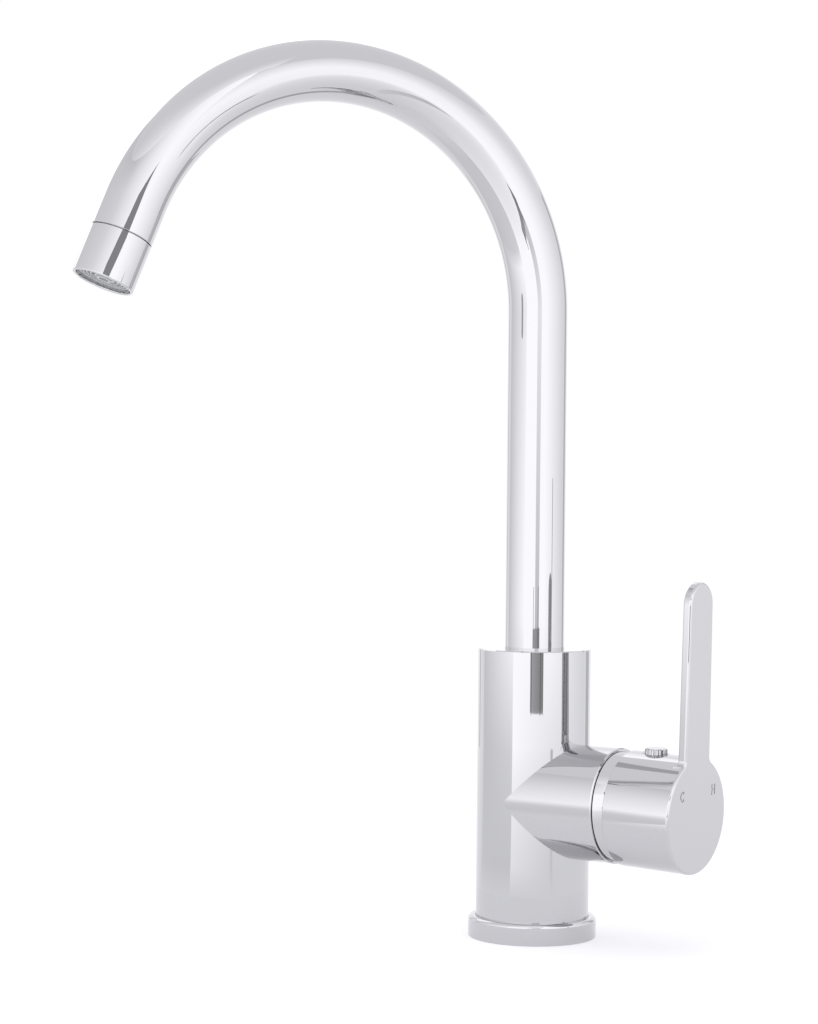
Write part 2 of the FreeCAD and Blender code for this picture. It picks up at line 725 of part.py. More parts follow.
def lever_handle():
    """The cast handle: hub, flat front disc and blade, hollowed as a ball round the pin."""
    front_round = 1.2
    blade_round = 0.9
    rim_break = 0.35
    front = Part.Face(blade_outline()).extrude(Vector(BLADE_THICK, 0, 0))
    front = front.makeFillet(front_round, facing_edges(front, HUB_FRONT))
    above = HUB_R + 2.0
    back_edges = edges_at(front, lambda box: flat_at(HUB_FRONT - BLADE_THICK, box.XMin, box.XMax)
                          and box.ZMax > BRANCH_Z + above and box.ZMin > BRANCH_Z + HUB_R - 4.5)
    front = front.makeFillet(blade_round, back_edges)
    hub = along(HUB_R, HUB_BACK, HUB_FRONT - BLADE_THICK + 0.5)
    hub = hub.makeChamfer(rim_break, facing_edges(hub, HUB_BACK))
    handle = hub.fuse(front)
    handle = handle.cut(Part.makeSphere(CAVITY_R, PIVOT))
    half = STEM_SIZE / 2 + FIT
    socket = block((PIVOT_X, HUB_FRONT - 6.0), (-half, half), (BRANCH_Z - half, BRANCH_Z + half))
    handle = handle.cut(socket)
    handle = handle.cut(above_hub(BEZEL_R, SPRING_FLOOR, HUB_R + 5))
    handle = handle.cut(above_hub(GUIDE_R + FIT, 5, SPRING_FLOOR + 1))
    handle = handle.cut(below_hub(SET_SCREW_R + FIT, 3, HUB_R - 4))
    handle = handle.cut(below_hub(SET_SCREW_R + 0.7, HUB_R - 5, HUB_R + 2))
    return tilted(handle.cut(cold_mark_cut()).cut(hot_mark_cut()))


def handle_set_screw():
    """The grub screw that clamps the handle on the square of the stem."""
    near = STEM_SIZE / 2
    far = 15.0
    screw = below_hub(SET_SCREW_R, near, far)
    recess = hex_recess(2.5, 3.0, Vector(SET_SCREW_X, 0, BRANCH_Z - far), UP)
    return tilted(screw.cut(recess))


def set_screw_plug():
    """The round cap that closes the set screw's hole, curved like the hub."""
    plug = below_hub(SET_SCREW_R + 0.65, HUB_R - 4.5, HUB_R + 2)
    return tilted(plug.common(along(HUB_R - 0.15, HUB_BACK, HUB_FRONT)))


def catch_button():
    """The sprung button on top of the hub, its side cut into small facets."""
    facets = 16
    notch = 0.55
    flange_low = BUTTON_FLANGE_LOW
    flange_high = BUTTON_FLANGE_LOW + 1.5
    top = HUB_R + BUTTON_PROUD
    crown = 0.5
    cap = above_hub(BUTTON_R, flange_high - 0.5, top)
    cap = cap.makeChamfer(crown, level_edges(cap, BRANCH_Z + top))
    for step in range(facets):
        angle = 2 * math.pi * step / facets
        reach = BUTTON_R + notch * 0.45
        x = BUTTON_X + reach * math.cos(angle)
        y = reach * math.sin(angle)
        cap = cap.cut(upright(notch, BRANCH_Z + HUB_R - 1.0, BRANCH_Z + top + 1, x, y))
    flange = above_hub(BEZEL_R - 0.2, flange_low, flange_high)
    shank = above_hub(GUIDE_R, 13.0, flange_low + 0.5)
    return tilted(cap.fuse(flange).fuse(shank))


def button_bezel():
    """The ring screwed in round the button to keep it from coming out."""
    ring = above_hub(BEZEL_R - 0.03, 21.8, HUB_R + 1)
    ring = ring.cut(above_hub(BUTTON_R + 0.1, 20, HUB_R + 2))
    return tilted(ring.common(along(HUB_R - 0.1, HUB_BACK, HUB_FRONT)))


def button_spring():
    """A small coil spring of square wire under the button's flange, made of half turns."""
    wire = 0.5
    coil_r = 4.2
    half_turns = 6
    low = SPRING_FLOOR + wire / 2 + FIT
    high = BUTTON_FLANGE_LOW - wire / 2 - FIT
    rise = (high - low) / half_turns
    coils = []
    for step in range(half_turns):
        side = 1 if step % 2 == 0 else -1
        start = Vector(side * coil_r, 0, step * rise)
        end = Vector(-side * coil_r, 0, (step + 1) * rise)
        centre = (start + end) * 0.5
        corners = []
        for x, z in ((-1, -1), (1, -1), (1, 1), (-1, 1), (-1, -1)):
            corners.append(start + Vector(x * wire / 2, 0, z * wire / 2))
        section = Part.Face(Part.makePolygon(corners))
        coils.append(section.revolve(centre, (start - centre).cross(ACROSS * side), 180))
    coil = coils[0].fuse(coils[1:])
    coil.translate(Vector(BUTTON_X, 0, BRANCH_Z + low))
    return tilted(coil)


PIECES = {
    "tap_body": tap_body,
    "base_flange": base_flange,
    "base_gasket": gasket_ring,
    "thrust_washer": thrust_washer,
    "spout_retaining_screw": spout_retaining_screw,
    "spout_foot": spout_foot,
    "spout_bearing_rings": spout_bearing_rings,
    "spout_o_rings": spout_o_rings,
    "spout_tube": spout_tube,
    "filtered_tube": filtered_tube,
    "filtered_tube_plug": filtered_tube_plug,
    "plug_o_rings": plug_o_rings,
    "nozzle_core": nozzle_core,
    "nozzle_sleeve": nozzle_sleeve,
    "aerator_seal": aerator_seal,
    "aerator_housing": aerator_housing,
    "aerator_screen": aerator_screen,
    "filtered_jet": filtered_jet,
    "cartridge_housing": cartridge_housing,
    "cartridge_base": cartridge_base,
    "base_seals": base_seals,
    "fixed_ceramic_disc": fixed_ceramic_disc,
    "moving_ceramic_disc": moving_ceramic_disc,
    "disc_carrier": disc_carrier,
    "cartridge_turret": cartridge_turret,
    "turret_washer": turret_washer,
    "pivot_pin": pivot_pin,
    "lever_stem": lever_stem,
    "cartridge_nut": cartridge_nut,
    "dome_ring": dome_ring,
    "dome_seal": dome_seal,
    "lever_handle": lever_handle,
    "handle_set_screw": handle_set_screw,
    "set_screw_plug": set_screw_plug,
    "catch_button": catch_button,
    "button_bezel": button_bezel,
    "button_spring": button_spring,
}

os.makedirs("parts", exist_ok=True)
for name, make in PIECES.items():
    piece = make()
    save(name, piece)
    print(name, "solids", len(piece.Solids), "valid", piece.isValid(), "volume", round(piece.Volume, 1))
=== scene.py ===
import math

import bmesh
import bpy
from mathutils import Matrix, Vector


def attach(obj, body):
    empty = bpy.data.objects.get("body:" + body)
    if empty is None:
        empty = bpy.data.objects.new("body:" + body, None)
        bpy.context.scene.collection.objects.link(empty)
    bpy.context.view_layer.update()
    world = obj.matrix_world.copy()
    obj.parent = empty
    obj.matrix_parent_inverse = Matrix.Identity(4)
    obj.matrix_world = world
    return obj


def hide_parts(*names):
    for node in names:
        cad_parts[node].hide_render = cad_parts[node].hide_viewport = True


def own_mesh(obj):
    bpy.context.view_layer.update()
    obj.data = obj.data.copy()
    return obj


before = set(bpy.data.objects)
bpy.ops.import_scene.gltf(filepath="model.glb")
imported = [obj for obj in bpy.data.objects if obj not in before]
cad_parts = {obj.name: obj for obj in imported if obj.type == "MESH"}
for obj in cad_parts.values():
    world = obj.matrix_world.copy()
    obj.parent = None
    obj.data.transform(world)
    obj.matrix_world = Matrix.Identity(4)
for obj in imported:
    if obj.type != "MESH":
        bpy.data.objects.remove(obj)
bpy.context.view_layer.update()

# Camera
# It stands a little over a metre from the tap, in front and to its right, at half the tap's
# height, with a long lens that keeps upright lines upright.
PHOTO_LONG_SIDE_PX = 1024
FOCAL_LENGTH_PX = 2483.3
SENSOR_MM = 36.0
CAMERA_SPOT = (0.5644, -0.8868, 0.1856)
CAMERA_HEADING = 35.4
CAMERA_PITCH = -0.38
CAMERA_ROLL = 0.55

camera_data = bpy.data.cameras.new("photographer")
camera_data.sensor_width = SENSOR_MM
camera_data.lens = FOCAL_LENGTH_PX * SENSOR_MM / PHOTO_LONG_SIDE_PX
camera = bpy.data.objects.new("photographer", camera_data)
bpy.context.scene.collection.objects.link(camera)
camera.matrix_world = (Matrix.Translation(CAMERA_SPOT)
                       @ Matrix.Rotation(math.radians(CAMERA_HEADING), 4, "Z")
                       @ Matrix.Rotation(math.radians(90 + CAMERA_PITCH), 4, "X")
                       @ Matrix.Rotation(math.radians(CAMERA_ROLL), 4, "Z"))
bpy.context.scene.camera = camera
bpy.context.scene.view_settings.view_transform = "Standard"


# Studio
# A white paper floor lit softly from all round, inside a round tent of glowing sheets that are no
# lamps. The sheets are seen only in the chrome, as painted reflections: white in front, grey at the
# left and paler at the right and behind, with darker sheets for the gap that the camera looks through
# and a few seams.

def colour(code):
    """Turns an sRGB hex code into the linear colour that Blender's sockets take."""
    parts = [int(code[i:i + 2], 16) / 255 for i in (1, 3, 5)]
    return [c / 12.92 if c < 0.04045 else ((c + 0.055) / 1.055) ** 2.4 for c in parts] + [1.0]


def add(tree, kind, settings, inputs):
    """Adds one node. Inputs are values, or outputs of other nodes to link."""
    made = tree.nodes.new(kind)
    for name, value in settings.items():
        setattr(made, name, value)
    for name, value in inputs.items():
        if isinstance(value, bpy.types.NodeSocket):
            tree.links.new(value, made.inputs[name])
        else:
            made.inputs[name].default_value = value
    return made


def seen_directly(tree):
    """1 for a ray that shows the studio to the eye, straight or by a reflection, else 0."""
    path = add(tree, "ShaderNodeLightPath", {}, {})
    either = add(tree, "ShaderNodeMath", {"operation": "MAXIMUM"},
                 {0: path.outputs["Is Camera Ray"], 1: path.outputs["Is Glossy Ray"]})
    both = add(tree, "ShaderNodeMath", {"operation": "MAXIMUM"},
               {0: either.outputs[0], 1: path.outputs["Is Transmission Ray"]})
    return both.outputs[0]


SKY_LEVEL = 0.8


def studio_air():
    """White where it shows, and a little dimmer as light, so that pale surfaces don't clip."""
    world = bpy.data.worlds.new("studio_air")
    world.use_nodes = True
    tree = world.node_tree
    tree.nodes.clear()
    white = add(tree, "ShaderNodeBackground", {}, {"Color": colour("#ffffff"), "Strength": 1.0})
    soft = add(tree, "ShaderNodeBackground", {}, {"Color": colour("#f6f6f8"), "Strength": SKY_LEVEL})
    mixed = add(tree, "ShaderNodeMixShader", {}, {0: seen_directly(tree), 1: soft.outputs[0],
                                                  2: white.outputs[0]})
    add(tree, "ShaderNodeOutputWorld", {}, {"Surface": mixed.outputs[0]})
    bpy.context.scene.world = world


studio_air()


def new_material(name):
    material = bpy.data.materials.new(name)
    material.use_nodes = True
    material.node_tree.nodes.clear()
    return material


PAPER_GLOW = 0.54


def white_paper():
    """The floor. What is seen of it is part glow, to make it white, and part lit, so that it is
    darker where the tap shades it. To other surfaces it is plain paper."""
    material = new_material("white_paper")
    tree = material.node_tree
    plain = add(tree, "ShaderNodeBsdfDiffuse", {}, {"Color": colour("#f2f2f2")})
    shade = add(tree, "ShaderNodeBsdfDiffuse", {}, {"Color": colour("#d0d0d3")})
    glow = add(tree, "ShaderNodeEmission", {}, {"Color": colour("#fcfcff"), "Strength": PAPER_GLOW})
    shown = add(tree, "ShaderNodeAddShader", {}, {0: shade.outputs[0], 1: glow.outputs[0]})
    mixed = add(tree, "ShaderNodeMixShader", {}, {0: seen_directly(tree), 1: plain.outputs[0],
                                                  2: shown.outputs[0]})
    add(tree, "ShaderNodeOutputMaterial", {}, {"Surface": mixed.outputs[0]})
    return material


# Chrome gives back a little over half of what it is shown. At this strength a sheet shows in it
# about as its own colour says.
TENT_STRENGTH = 1.77


def painted_reflection_glow():
    """Glowing sheets that are no lamps and show only in reflections: painted reflections for the
    chrome. Each sheet has its own glow on its corners.
    """
    material = new_material("painted_reflection_glow")
    tree = material.node_tree
    given = add(tree, "ShaderNodeAttribute", {"attribute_name": "glow"}, {})
    glow = add(tree, "ShaderNodeEmission", {}, {"Color": given.outputs["Color"],
                                                "Strength": TENT_STRENGTH})
    add(tree, "ShaderNodeOutputMaterial", {}, {"Surface": glow.outputs[0]})
    return material


PAINTED_REFLECTION_GLOW = painted_reflection_glow()
SHEET_STEP = 2.5


def tent_point(azimuth, radius, height):
    """A place in the tent. Azimuth 0 is towards the camera and +90 is to its right."""
    angle = math.radians(azimuth - 90 + CAMERA_HEADING)
    return (radius * math.cos(angle), radius * math.sin(angle), height)


def hang_sheet(name, sides, lower, upper, shades):
    """One sheet of the round tent between two azimuths. Its lower and upper edges are (radius,
    height). Its glow blends from side to side, and from foot to head if four colours are given."""
    steps = max(2, round((sides[1] - sides[0]) / SHEET_STEP))
    points = []
    for k in range(steps + 1):
        azimuth = sides[0] + (sides[1] - sides[0]) * k / steps
        points += [tent_point(azimuth, *lower), tent_point(azimuth, *upper)]
    mesh = bpy.data.meshes.new(name)
    mesh.from_pydata(points, [], [(2 * k, 2 * k + 1, 2 * k + 3, 2 * k + 2) for k in range(steps)])
    layer = mesh.color_attributes.new("glow", "FLOAT_COLOR", "POINT")
    edges = [[colour(shades[0]), colour(shades[1 % len(shades)])],
             [colour(shades[-2 % len(shades)]), colour(shades[-1])]]
    for k, spot in enumerate(layer.data):
        left, right = edges[k % 2]
        share = k // 2 / steps
        spot.color = [a + (b - a) * share for a, b in zip(left, right)]
    mesh.materials.append(PAINTED_REFLECTION_GLOW)
    sheet = bpy.data.objects.new(name, mesh)
    bpy.context.scene.collection.objects.link(sheet)
    # The sheet is hidden from the camera, from diffuse light and from shadows: its glow is a painted
    # reflection, seen only in the chrome.
    sheet.visible_camera = False
    sheet.visible_diffuse = False
    sheet.visible_shadow = False
    sheet.visible_transmission = False


# The round wall's painted glow: white in front, grey at the left, paler at the right and behind, and
# white again high up behind on the left, as if the cloth were nearest to a lamp there.
WHITE = "#fcfcff"
PALE = "#e6e6e9"
SOFT_GREY = "#d2d2d5"
GREY = "#bebec1"
TENT_R = 0.8
ROOF_Z = 0.95
FOOT = (TENT_R, 0.0)
KNEE = (TENT_R, 0.1)
WAIST = (TENT_R, 0.45)
TOP = (TENT_R, ROOF_Z)
hang_sheet("left_skirt", (-125, -46), FOOT, KNEE, (GREY, SOFT_GREY, GREY, WHITE))
hang_sheet("left_cloth", (-125, -46), KNEE, WAIST, (GREY, WHITE, GREY, PALE))
hang_sheet("left_cloth_above", (-125, -46), WAIST, TOP, (GREY, PALE, GREY, GREY))
hang_sheet("front_skirt", (-46, 31), FOOT, KNEE, (WHITE, PALE, WHITE, WHITE))
hang_sheet("front_cloth", (-46, 31), KNEE, WAIST, (WHITE,))
hang_sheet("front_cloth_above", (-46, 31), WAIST, TOP, (PALE, WHITE, GREY, WHITE))
hang_sheet("right_skirt", (31, 115), FOOT, KNEE, (PALE, SOFT_GREY, WHITE, SOFT_GREY))
hang_sheet("right_cloth", (31, 115), KNEE, WAIST, (WHITE, SOFT_GREY))
hang_sheet("right_cloth_above", (31, 115), WAIST, TOP, (WHITE, SOFT_GREY, SOFT_GREY, SOFT_GREY))
hang_sheet("back_cloth", (115, 235), FOOT, WAIST, (SOFT_GREY,))
hang_sheet("back_cloth_above", (115, 175), WAIST, TOP, (SOFT_GREY,))
hang_sheet("back_left_above", (175, 235), WAIST, TOP, (SOFT_GREY, WHITE, WHITE, WHITE))

# The roof's painted glow, which pales softly towards the front wall.
ROOF_GREY = "#c8c8cb"
LINING_Z = ROOF_Z - 0.01
LINING_IN = (0.4, LINING_Z)
LINING_OUT = (TENT_R, LINING_Z)
hang_sheet("roof", (-180, 180), (0.001, ROOF_Z), TOP, (ROOF_GREY,))
hang_sheet("roof_front_left", (-75, -20), LINING_IN, LINING_OUT,
           (ROOF_GREY, ROOF_GREY, ROOF_GREY, PALE))
hang_sheet("roof_front", (-20, 35), LINING_IN, LINING_OUT, (ROOF_GREY, ROOF_GREY, PALE, PALE))

# The apron is a glowing sheet over the paper round the tap, seen only in the chrome: a painted
# reflection of a greyer floor, with painted light in front, painted shade at the left and a painted
# shadow line at the right. It ends a hand's width from the tap, and turns to the paper's own tone
# there.
APRON_Z = 0.002
APRON_IN = (0.13, APRON_Z)
APRON_FADE = (0.22, APRON_Z)
APRON_OUT = (TENT_R, APRON_Z)
PAPER = "#cdcdd0"
SHADED = "#c4c4c7"
LIT = "#e1e1e4"
# Painted shadow: a dark radial strip on the apron, standing for the tap's own shadow as the chrome
# shows it.
SHADOW_LINE_GREY = "#b4b4b7"
for side, sides, near, far in (("left", (-125, -46), (SHADED, SHADED), (GREY, SOFT_GREY)),
                               ("front", (-46, 31), (LIT, PAPER), (WHITE, PALE)),
                               ("shadow_line", (31, 36), (SHADED, SHADED), (SHADOW_LINE_GREY, SHADOW_LINE_GREY)),
                               ("right", (36, 115), (PAPER, PAPER), (PALE, SOFT_GREY)),
                               ("back", (115, 235), (PAPER, PAPER), (SOFT_GREY, SOFT_GREY))):
    hang_sheet("apron_" + side, sides, APRON_FADE, APRON_OUT, near + far)
    hang_sheet("apron_edge_" + side, sides, APRON_IN, APRON_FADE, (PAPER, PAPER) + near)

# Dark glowing sheets a little in front of the cloth, seen only in the chrome as painted dark
# reflections: the gap that the camera looks through with its two hems, the seam at the right, and a
# dark sheet and a seam behind.
NEAR_R = TENT_R - 0.02
HEM_R = NEAR_R - 0.01
GAP_LEFT = "#a0a0a3"
GAP_RIGHT = "#787878"
GAP_ABOVE = "#828285"
HEM = "#6e6e71"
SEAM_RIGHT = "#96969a"
SEAM_BEHIND = "#a0a0a3"
BACK_DARK_SHEET = "#aaaaad"
hang_sheet("gap_low", (-11, 15), (NEAR_R, 0.03), (NEAR_R, 0.09), (GAP_LEFT, GAP_RIGHT))
hang_sheet("gap_middle", (-3, 12), (NEAR_R, 0.09), (NEAR_R, 0.34), (GREY, GREY, PALE, PALE))
hang_sheet("gap_high", (-8, 20), (NEAR_R, 0.43), (NEAR_R, 0.54), (GAP_ABOVE,))
hang_sheet("hem_left", (-9.5, -8), (HEM_R, 0.03), (HEM_R, 0.12), (HEM,))
hang_sheet("hem_right", (8, 10), (HEM_R, 0.03), (HEM_R, 0.12), (HEM,))
hang_sheet("seam_right", (63, 65.5), (NEAR_R, 0.0), (NEAR_R, 0.2), (SEAM_RIGHT,))
hang_sheet("dark_sheet_behind", (126, 142), (NEAR_R, 0.0), (NEAR_R, 0.6), (BACK_DARK_SHEET,))
hang_sheet("seam_behind", (212, 216), (NEAR_R, 0.0), (NEAR_R, 0.45), (SEAM_BEHIND,))


FLOOR_HALF = 2.0
floor_mesh = bpy.data.meshes.new("paper_floor")
floor_mesh.from_pydata([(-FLOOR_HALF, -FLOOR_HALF, 0), (FLOOR_HALF, -FLOOR_HALF, 0),
                        (FLOOR_HALF, FLOOR_HALF, 0), (-FLOOR_HALF, FLOOR_HALF, 0)], [],
                       [(0, 1, 2, 3)])
floor_mesh.materials.append(white_paper())
paper_floor = bpy.data.objects.new("paper_floor", floor_mesh)
bpy.context.scene.collection.objects.link(paper_floor)


LAMP_AIM = Vector((0, 0, 0.15))


def softbox(name, spot, size, watts):
    """A square lamp that faces the tap. The chrome shows the tent instead of the lamp."""
    data = bpy.data.lights.new(name, "AREA")
    data.shape = "SQUARE"
    data.size = size
    data.energy = watts
    lamp = bpy.data.objects.new(name, data)
    lamp.location = spot
    lamp.rotation_euler = (LAMP_AIM - Vector(spot)).to_track_quat("-Z", "Y").to_euler()
    lamp.visible_glossy = False
    bpy.context.scene.collection.objects.link(lamp)


softbox("softbox_above", (0.1, -0.2, 1.4), 1.2, 2.4)
softbox("softbox_left", (-1.2, -0.6, 0.9), 0.8, 1.1)
softbox("softbox_right", (1.3, -0.3, 0.8), 0.8, 0.8)


# Column and branch
# One brass casting with a round column and a side branch of the same diameter, polished and
# chrome plated. The two cylinders meet in a crisp V, and the column is bored for the spout.
MM = 0.001
COLUMN_R = 23.85
COLUMN_FOOT = 3.0
COLUMN_TOP = 121.5
BRANCH_Z = 58.2
BRANCH_END = 42.5
MOUTH_R = 19.6
MOUTH_DEPTH = 31.0
CHAMBER_R = 17.8
SOCKET_R = 12.56
SOCKET_FLOOR = 89.0
HOSE_CAVITY_R = 20.0
HOSE_CAVITY_TOP = 28.0
EDGE_BREAK = 0.4
ROUND_STEPS = 192
WELD = 0.0005
SHARP_EDGE_ANGLE = 32
FLAT_FACE_WEIGHT = 90


def polished_chrome():
    """Chrome plate over polished brass: a mirror with the faintest waviness of hand polishing."""
    material = new_material("polished_chrome")
    tree = material.node_tree
    place = add(tree, "ShaderNodeTexCoord", {}, {})
    polish_lines_mm = 0.8
    waviness_mm = 9.0
    cloud = add(tree, "ShaderNodeTexNoise", {}, {"Vector": place.outputs["Object"],
                                                 "Scale": 1000 / waviness_mm, "Detail": 2.0})
    fine = add(tree, "ShaderNodeTexNoise", {}, {"Vector": place.outputs["Object"],
                                                "Scale": 1000 / polish_lines_mm, "Detail": 3.0})
    dull = add(tree, "ShaderNodeMapRange", {}, {"Value": fine.outputs[0], "To Min": 0.012,
                                                "To Max": 0.03})
    wave = add(tree, "ShaderNodeBump", {}, {"Height": cloud.outputs[0], "Strength": 0.02,
                                            "Distance": 0.0004})
    plate = add(tree, "ShaderNodeBsdfPrincipled", {}, {
        "Base Color": colour("#c4c4c6"), "Metallic": 1.0, "Roughness": dull.outputs[0],
        "Normal": wave.outputs[0]})
    add(tree, "ShaderNodeOutputMaterial", {}, {"Surface": plate.outputs[0]})
    return material


CHROME = polished_chrome()


def closed_object(name, shape, material):
    """An object from a shape of (points in millimetres, faces), with doubled points welded."""
    points, faces = shape
    mesh = bpy.data.meshes.new(name)
    mesh.from_pydata([Vector(p) * MM for p in points], [], faces)
    work = bmesh.new()
    work.from_mesh(mesh)
    bmesh.ops.remove_doubles(work, verts=work.verts, dist=WELD * MM)
    bmesh.ops.dissolve_degenerate(work, edges=work.edges, dist=WELD * MM)
    bmesh.ops.recalc_face_normals(work, faces=work.faces)
    work.to_mesh(mesh)
    work.free()
    mesh.materials.append(material)
    made = bpy.data.objects.new(name, mesh)
    bpy.context.scene.collection.objects.link(made)
    return made


def cut_out(piece, shape, finish):
    """Cuts a shape out of a piece. The faces that the cut leaves get the given finish."""
    tool = closed_object("cutter", shape, finish)
    cut = piece.modifiers.new("cut", "BOOLEAN")
    cut.operation = "DIFFERENCE"
    cut.solver = "EXACT"
    cut.material_mode = "TRANSFER"
    cut.object = tool
    bpy.context.view_layer.update()
    ready = piece.evaluated_get(bpy.context.evaluated_depsgraph_get())
    piece.data = bpy.data.meshes.new_from_object(ready)
    piece.modifiers.remove(cut)
    bpy.data.objects.remove(tool)


def make_piece(name, shape, material, body, node, cutters=()):
    """A piece that stands for a CAD node. Cutters are (shape, finish). Real edges stay crisp, and
    flat and round faces get their true shading."""
    piece = closed_object(name, shape, material)
    for cutter, finish in cutters:
        cut_out(piece, cutter, finish)
    piece.data.shade_smooth()
    piece.data.set_sharp_from_angle(angle=math.radians(SHARP_EDGE_ANGLE))
    true_faces = piece.modifiers.new("true_faces", "WEIGHTED_NORMAL")
    true_faces.keep_sharp = True
    true_faces.weight = FLAT_FACE_WEIGHT
    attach(piece, body)
    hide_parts(node)
    return piece


def rounded(corners, steps=7):
    """The points of a profile given as corners of (across, along, corner radius)."""
    made = []
    last = len(corners) - 1
    for i, (across, along, radius) in enumerate(corners):
        corner = Vector((across, along))
        if radius == 0 or i in (0, last):
            made.append((across, along))
            continue
        back = (Vector(corners[i - 1][:2]) - corner).normalized()
        ahead = (Vector(corners[i + 1][:2]) - corner).normalized()
        half = back.angle(ahead) / 2
        centre = corner + (back + ahead).normalized() * radius / math.sin(half)
        first = corner + back * radius / math.tan(half)
        sweep = math.pi - 2 * half
        turn = 1 if back.cross(ahead) < 0 else -1
        for step in range(steps + 1):
            angle = turn * sweep * step / steps
            arm = first - centre
            made.append((centre.x + arm.x * math.cos(angle) - arm.y * math.sin(angle),
                         centre.y + arm.x * math.sin(angle) + arm.y * math.cos(angle)))
    return made


def turned(profile, place=Matrix(), closed=True, steps=ROUND_STEPS):
    """Points and faces of a profile of (radius, height) turned about the local Z axis."""
    points = []
    faces = []
    rows = len(profile)
    for step in range(steps):
        angle = 2 * math.pi * step / steps
        for radius, height in profile:
            points.append(place @ Vector((radius * math.cos(angle), radius * math.sin(angle), height)))
    for step in range(steps):
        here = step * rows
        there = (step + 1) % steps * rows
        for row in range(rows if closed else rows - 1):
            ahead = (row + 1) % rows
            faces.append((here + row, there + row, there + ahead, here + ahead))
    return points, faces


def casting_shape():
    """The column and the branch share the vertices of the V where they meet."""
    points = []
    faces = []
    rim_r = COLUMN_R - EDGE_BREAK

    def strip(lines):
        """Joins neighbouring lines of points, all round."""
        first = len(points)
        rows = len(lines[0])
        for line in lines:
            points.extend(line)
        for k in range(len(lines) - 1):
            for row in range(rows - 1):
                corner = first + k * rows + row
                faces.append((corner, corner + rows, corner + rows + 1, corner + 1))

    lower = []
    upper = []
    for k in range(ROUND_STEPS + 1):
        angle = 2 * math.pi * (k % ROUND_STEPS) / ROUND_STEPS
        c, s = math.cos(angle), math.sin(angle)
        x, y = COLUMN_R * c, COLUMN_R * s
        meeting = max(x, 0.0)
        lower.append([(0, 0, HOSE_CAVITY_TOP), (HOSE_CAVITY_R * c, HOSE_CAVITY_R * s, HOSE_CAVITY_TOP),
                      (HOSE_CAVITY_R * c, HOSE_CAVITY_R * s, COLUMN_FOOT), (x, y, COLUMN_FOOT),
                      (x, y, BRANCH_Z - meeting)])
        upper.append([(x, y, BRANCH_Z + meeting), (x, y, COLUMN_TOP - EDGE_BREAK),
                      (rim_r * c, rim_r * s, COLUMN_TOP), (SOCKET_R * c, SOCKET_R * s, COLUMN_TOP),
                      (SOCKET_R * c, SOCKET_R * s, SOCKET_FLOOR), (0, 0, SOCKET_FLOOR)])
    strip(lower)
    strip(upper)
    side = []
    for k in range(ROUND_STEPS + 1):
        angle = 2 * math.pi * k / ROUND_STEPS - math.pi / 2
        c, s = math.cos(angle), math.sin(angle)
        y, z = COLUMN_R * s, COLUMN_R * c
        line = [(abs(z), y, BRANCH_Z + z), (BRANCH_END - EDGE_BREAK, y, BRANCH_Z + z)]
        for radius, x in ((rim_r, BRANCH_END), (MOUTH_R, BRANCH_END), (MOUTH_R, MOUTH_DEPTH),
                          (CHAMBER_R, MOUTH_DEPTH), (CHAMBER_R, 0.0), (0.0, 0.0)):
            line.append((x, radius * s, BRANCH_Z + radius * c))
        side.append(line)
    strip(side)
    return points, faces


def rod(radius, low, high, place, steps=48):
    """A round rod about the local Z axis, for cutting a hole."""
    return turned([(0, low), (radius, low), (radius, high), (0, high)], place, False, steps)


# Sockets in the roof of the hose cavity as (radius, depth, x, y): hot, cold and filtered hose, and
# the fixing stud. Every cutter starts a little outside what it cuts.
SOCKETS = ((4.5, 11.0, -8.0, 10.5), (4.5, 11.0, -8.0, -10.5), (4.5, 11.0, -15.0, 0.0),
           (3.4, 10.0, 12.0, 0.0))
SCREW_HOLE_R = 2.55
SCREW_HOLE_Z = 101.0
OVERCUT = 1.0
screw_way = Matrix.Translation((0, 0, SCREW_HOLE_Z)) @ Matrix.Rotation(math.radians(-90), 4, "Y")
casting_cutters = []
for radius, depth, x, y in SOCKETS:
    place = Matrix.Translation((x, y, HOSE_CAVITY_TOP))
    casting_cutters.append((rod(radius, -OVERCUT, depth, place), CHROME))
casting_cutters.append((rod(SCREW_HOLE_R, SOCKET_R - OVERCUT, COLUMN_R + OVERCUT, screw_way), CHROME))
casting = make_piece("column_and_branch", casting_shape(), CHROME, "tap_base", "tap_body",
                     casting_cutters)


def on_crease(spot):
    """Tells whether a point, in millimetres, lies on the V where the two cylinders meet."""
    off_the_v = 0.01
    off_the_surface = 0.1
    return (abs(abs(spot.z - BRANCH_Z) - spot.x) < off_the_v
            and math.hypot(spot.x, spot.y) > COLUMN_R - off_the_surface)


for edge in casting.data.edges:
    if all(on_crease(casting.data.vertices[i].co / MM) for i in edge.vertices):
        edge.use_edge_sharp = True


# Base flange
# A turned and plated brass ring that the column stands in. Its upper edge is well rounded and
# its foot slightly, and a rubber gasket sits in a groove underneath.
FLANGE_R = 27.05
FLANGE_H = 9.0
FLANGE_LIP = 3.0
FLANGE_TOP_ROUND = 1.8
FLANGE_FOOT_ROUND = 0.6
FLANGE_INNER_R = COLUMN_R + 0.05
FLANGE_INNER_ROUND = 0.25
GASKET_INNER_R = 21.5
GASKET_OUTER_R = 25.0
GASKET_DEPTH = 1.5

flange_profile = rounded([
    (HOSE_CAVITY_R, FLANGE_LIP, 0), (HOSE_CAVITY_R, 0, 0), (GASKET_INNER_R, 0, 0),
    (GASKET_INNER_R, GASKET_DEPTH, 0), (GASKET_OUTER_R, GASKET_DEPTH, 0), (GASKET_OUTER_R, 0, 0),
    (FLANGE_R, 0, FLANGE_FOOT_ROUND), (FLANGE_R, FLANGE_H, FLANGE_TOP_ROUND),
    (FLANGE_INNER_R, FLANGE_H, FLANGE_INNER_ROUND), (FLANGE_INNER_R, FLANGE_LIP, 0)])
make_piece("flange_ring", turned(flange_profile), CHROME, "tap_base", "base_flange")


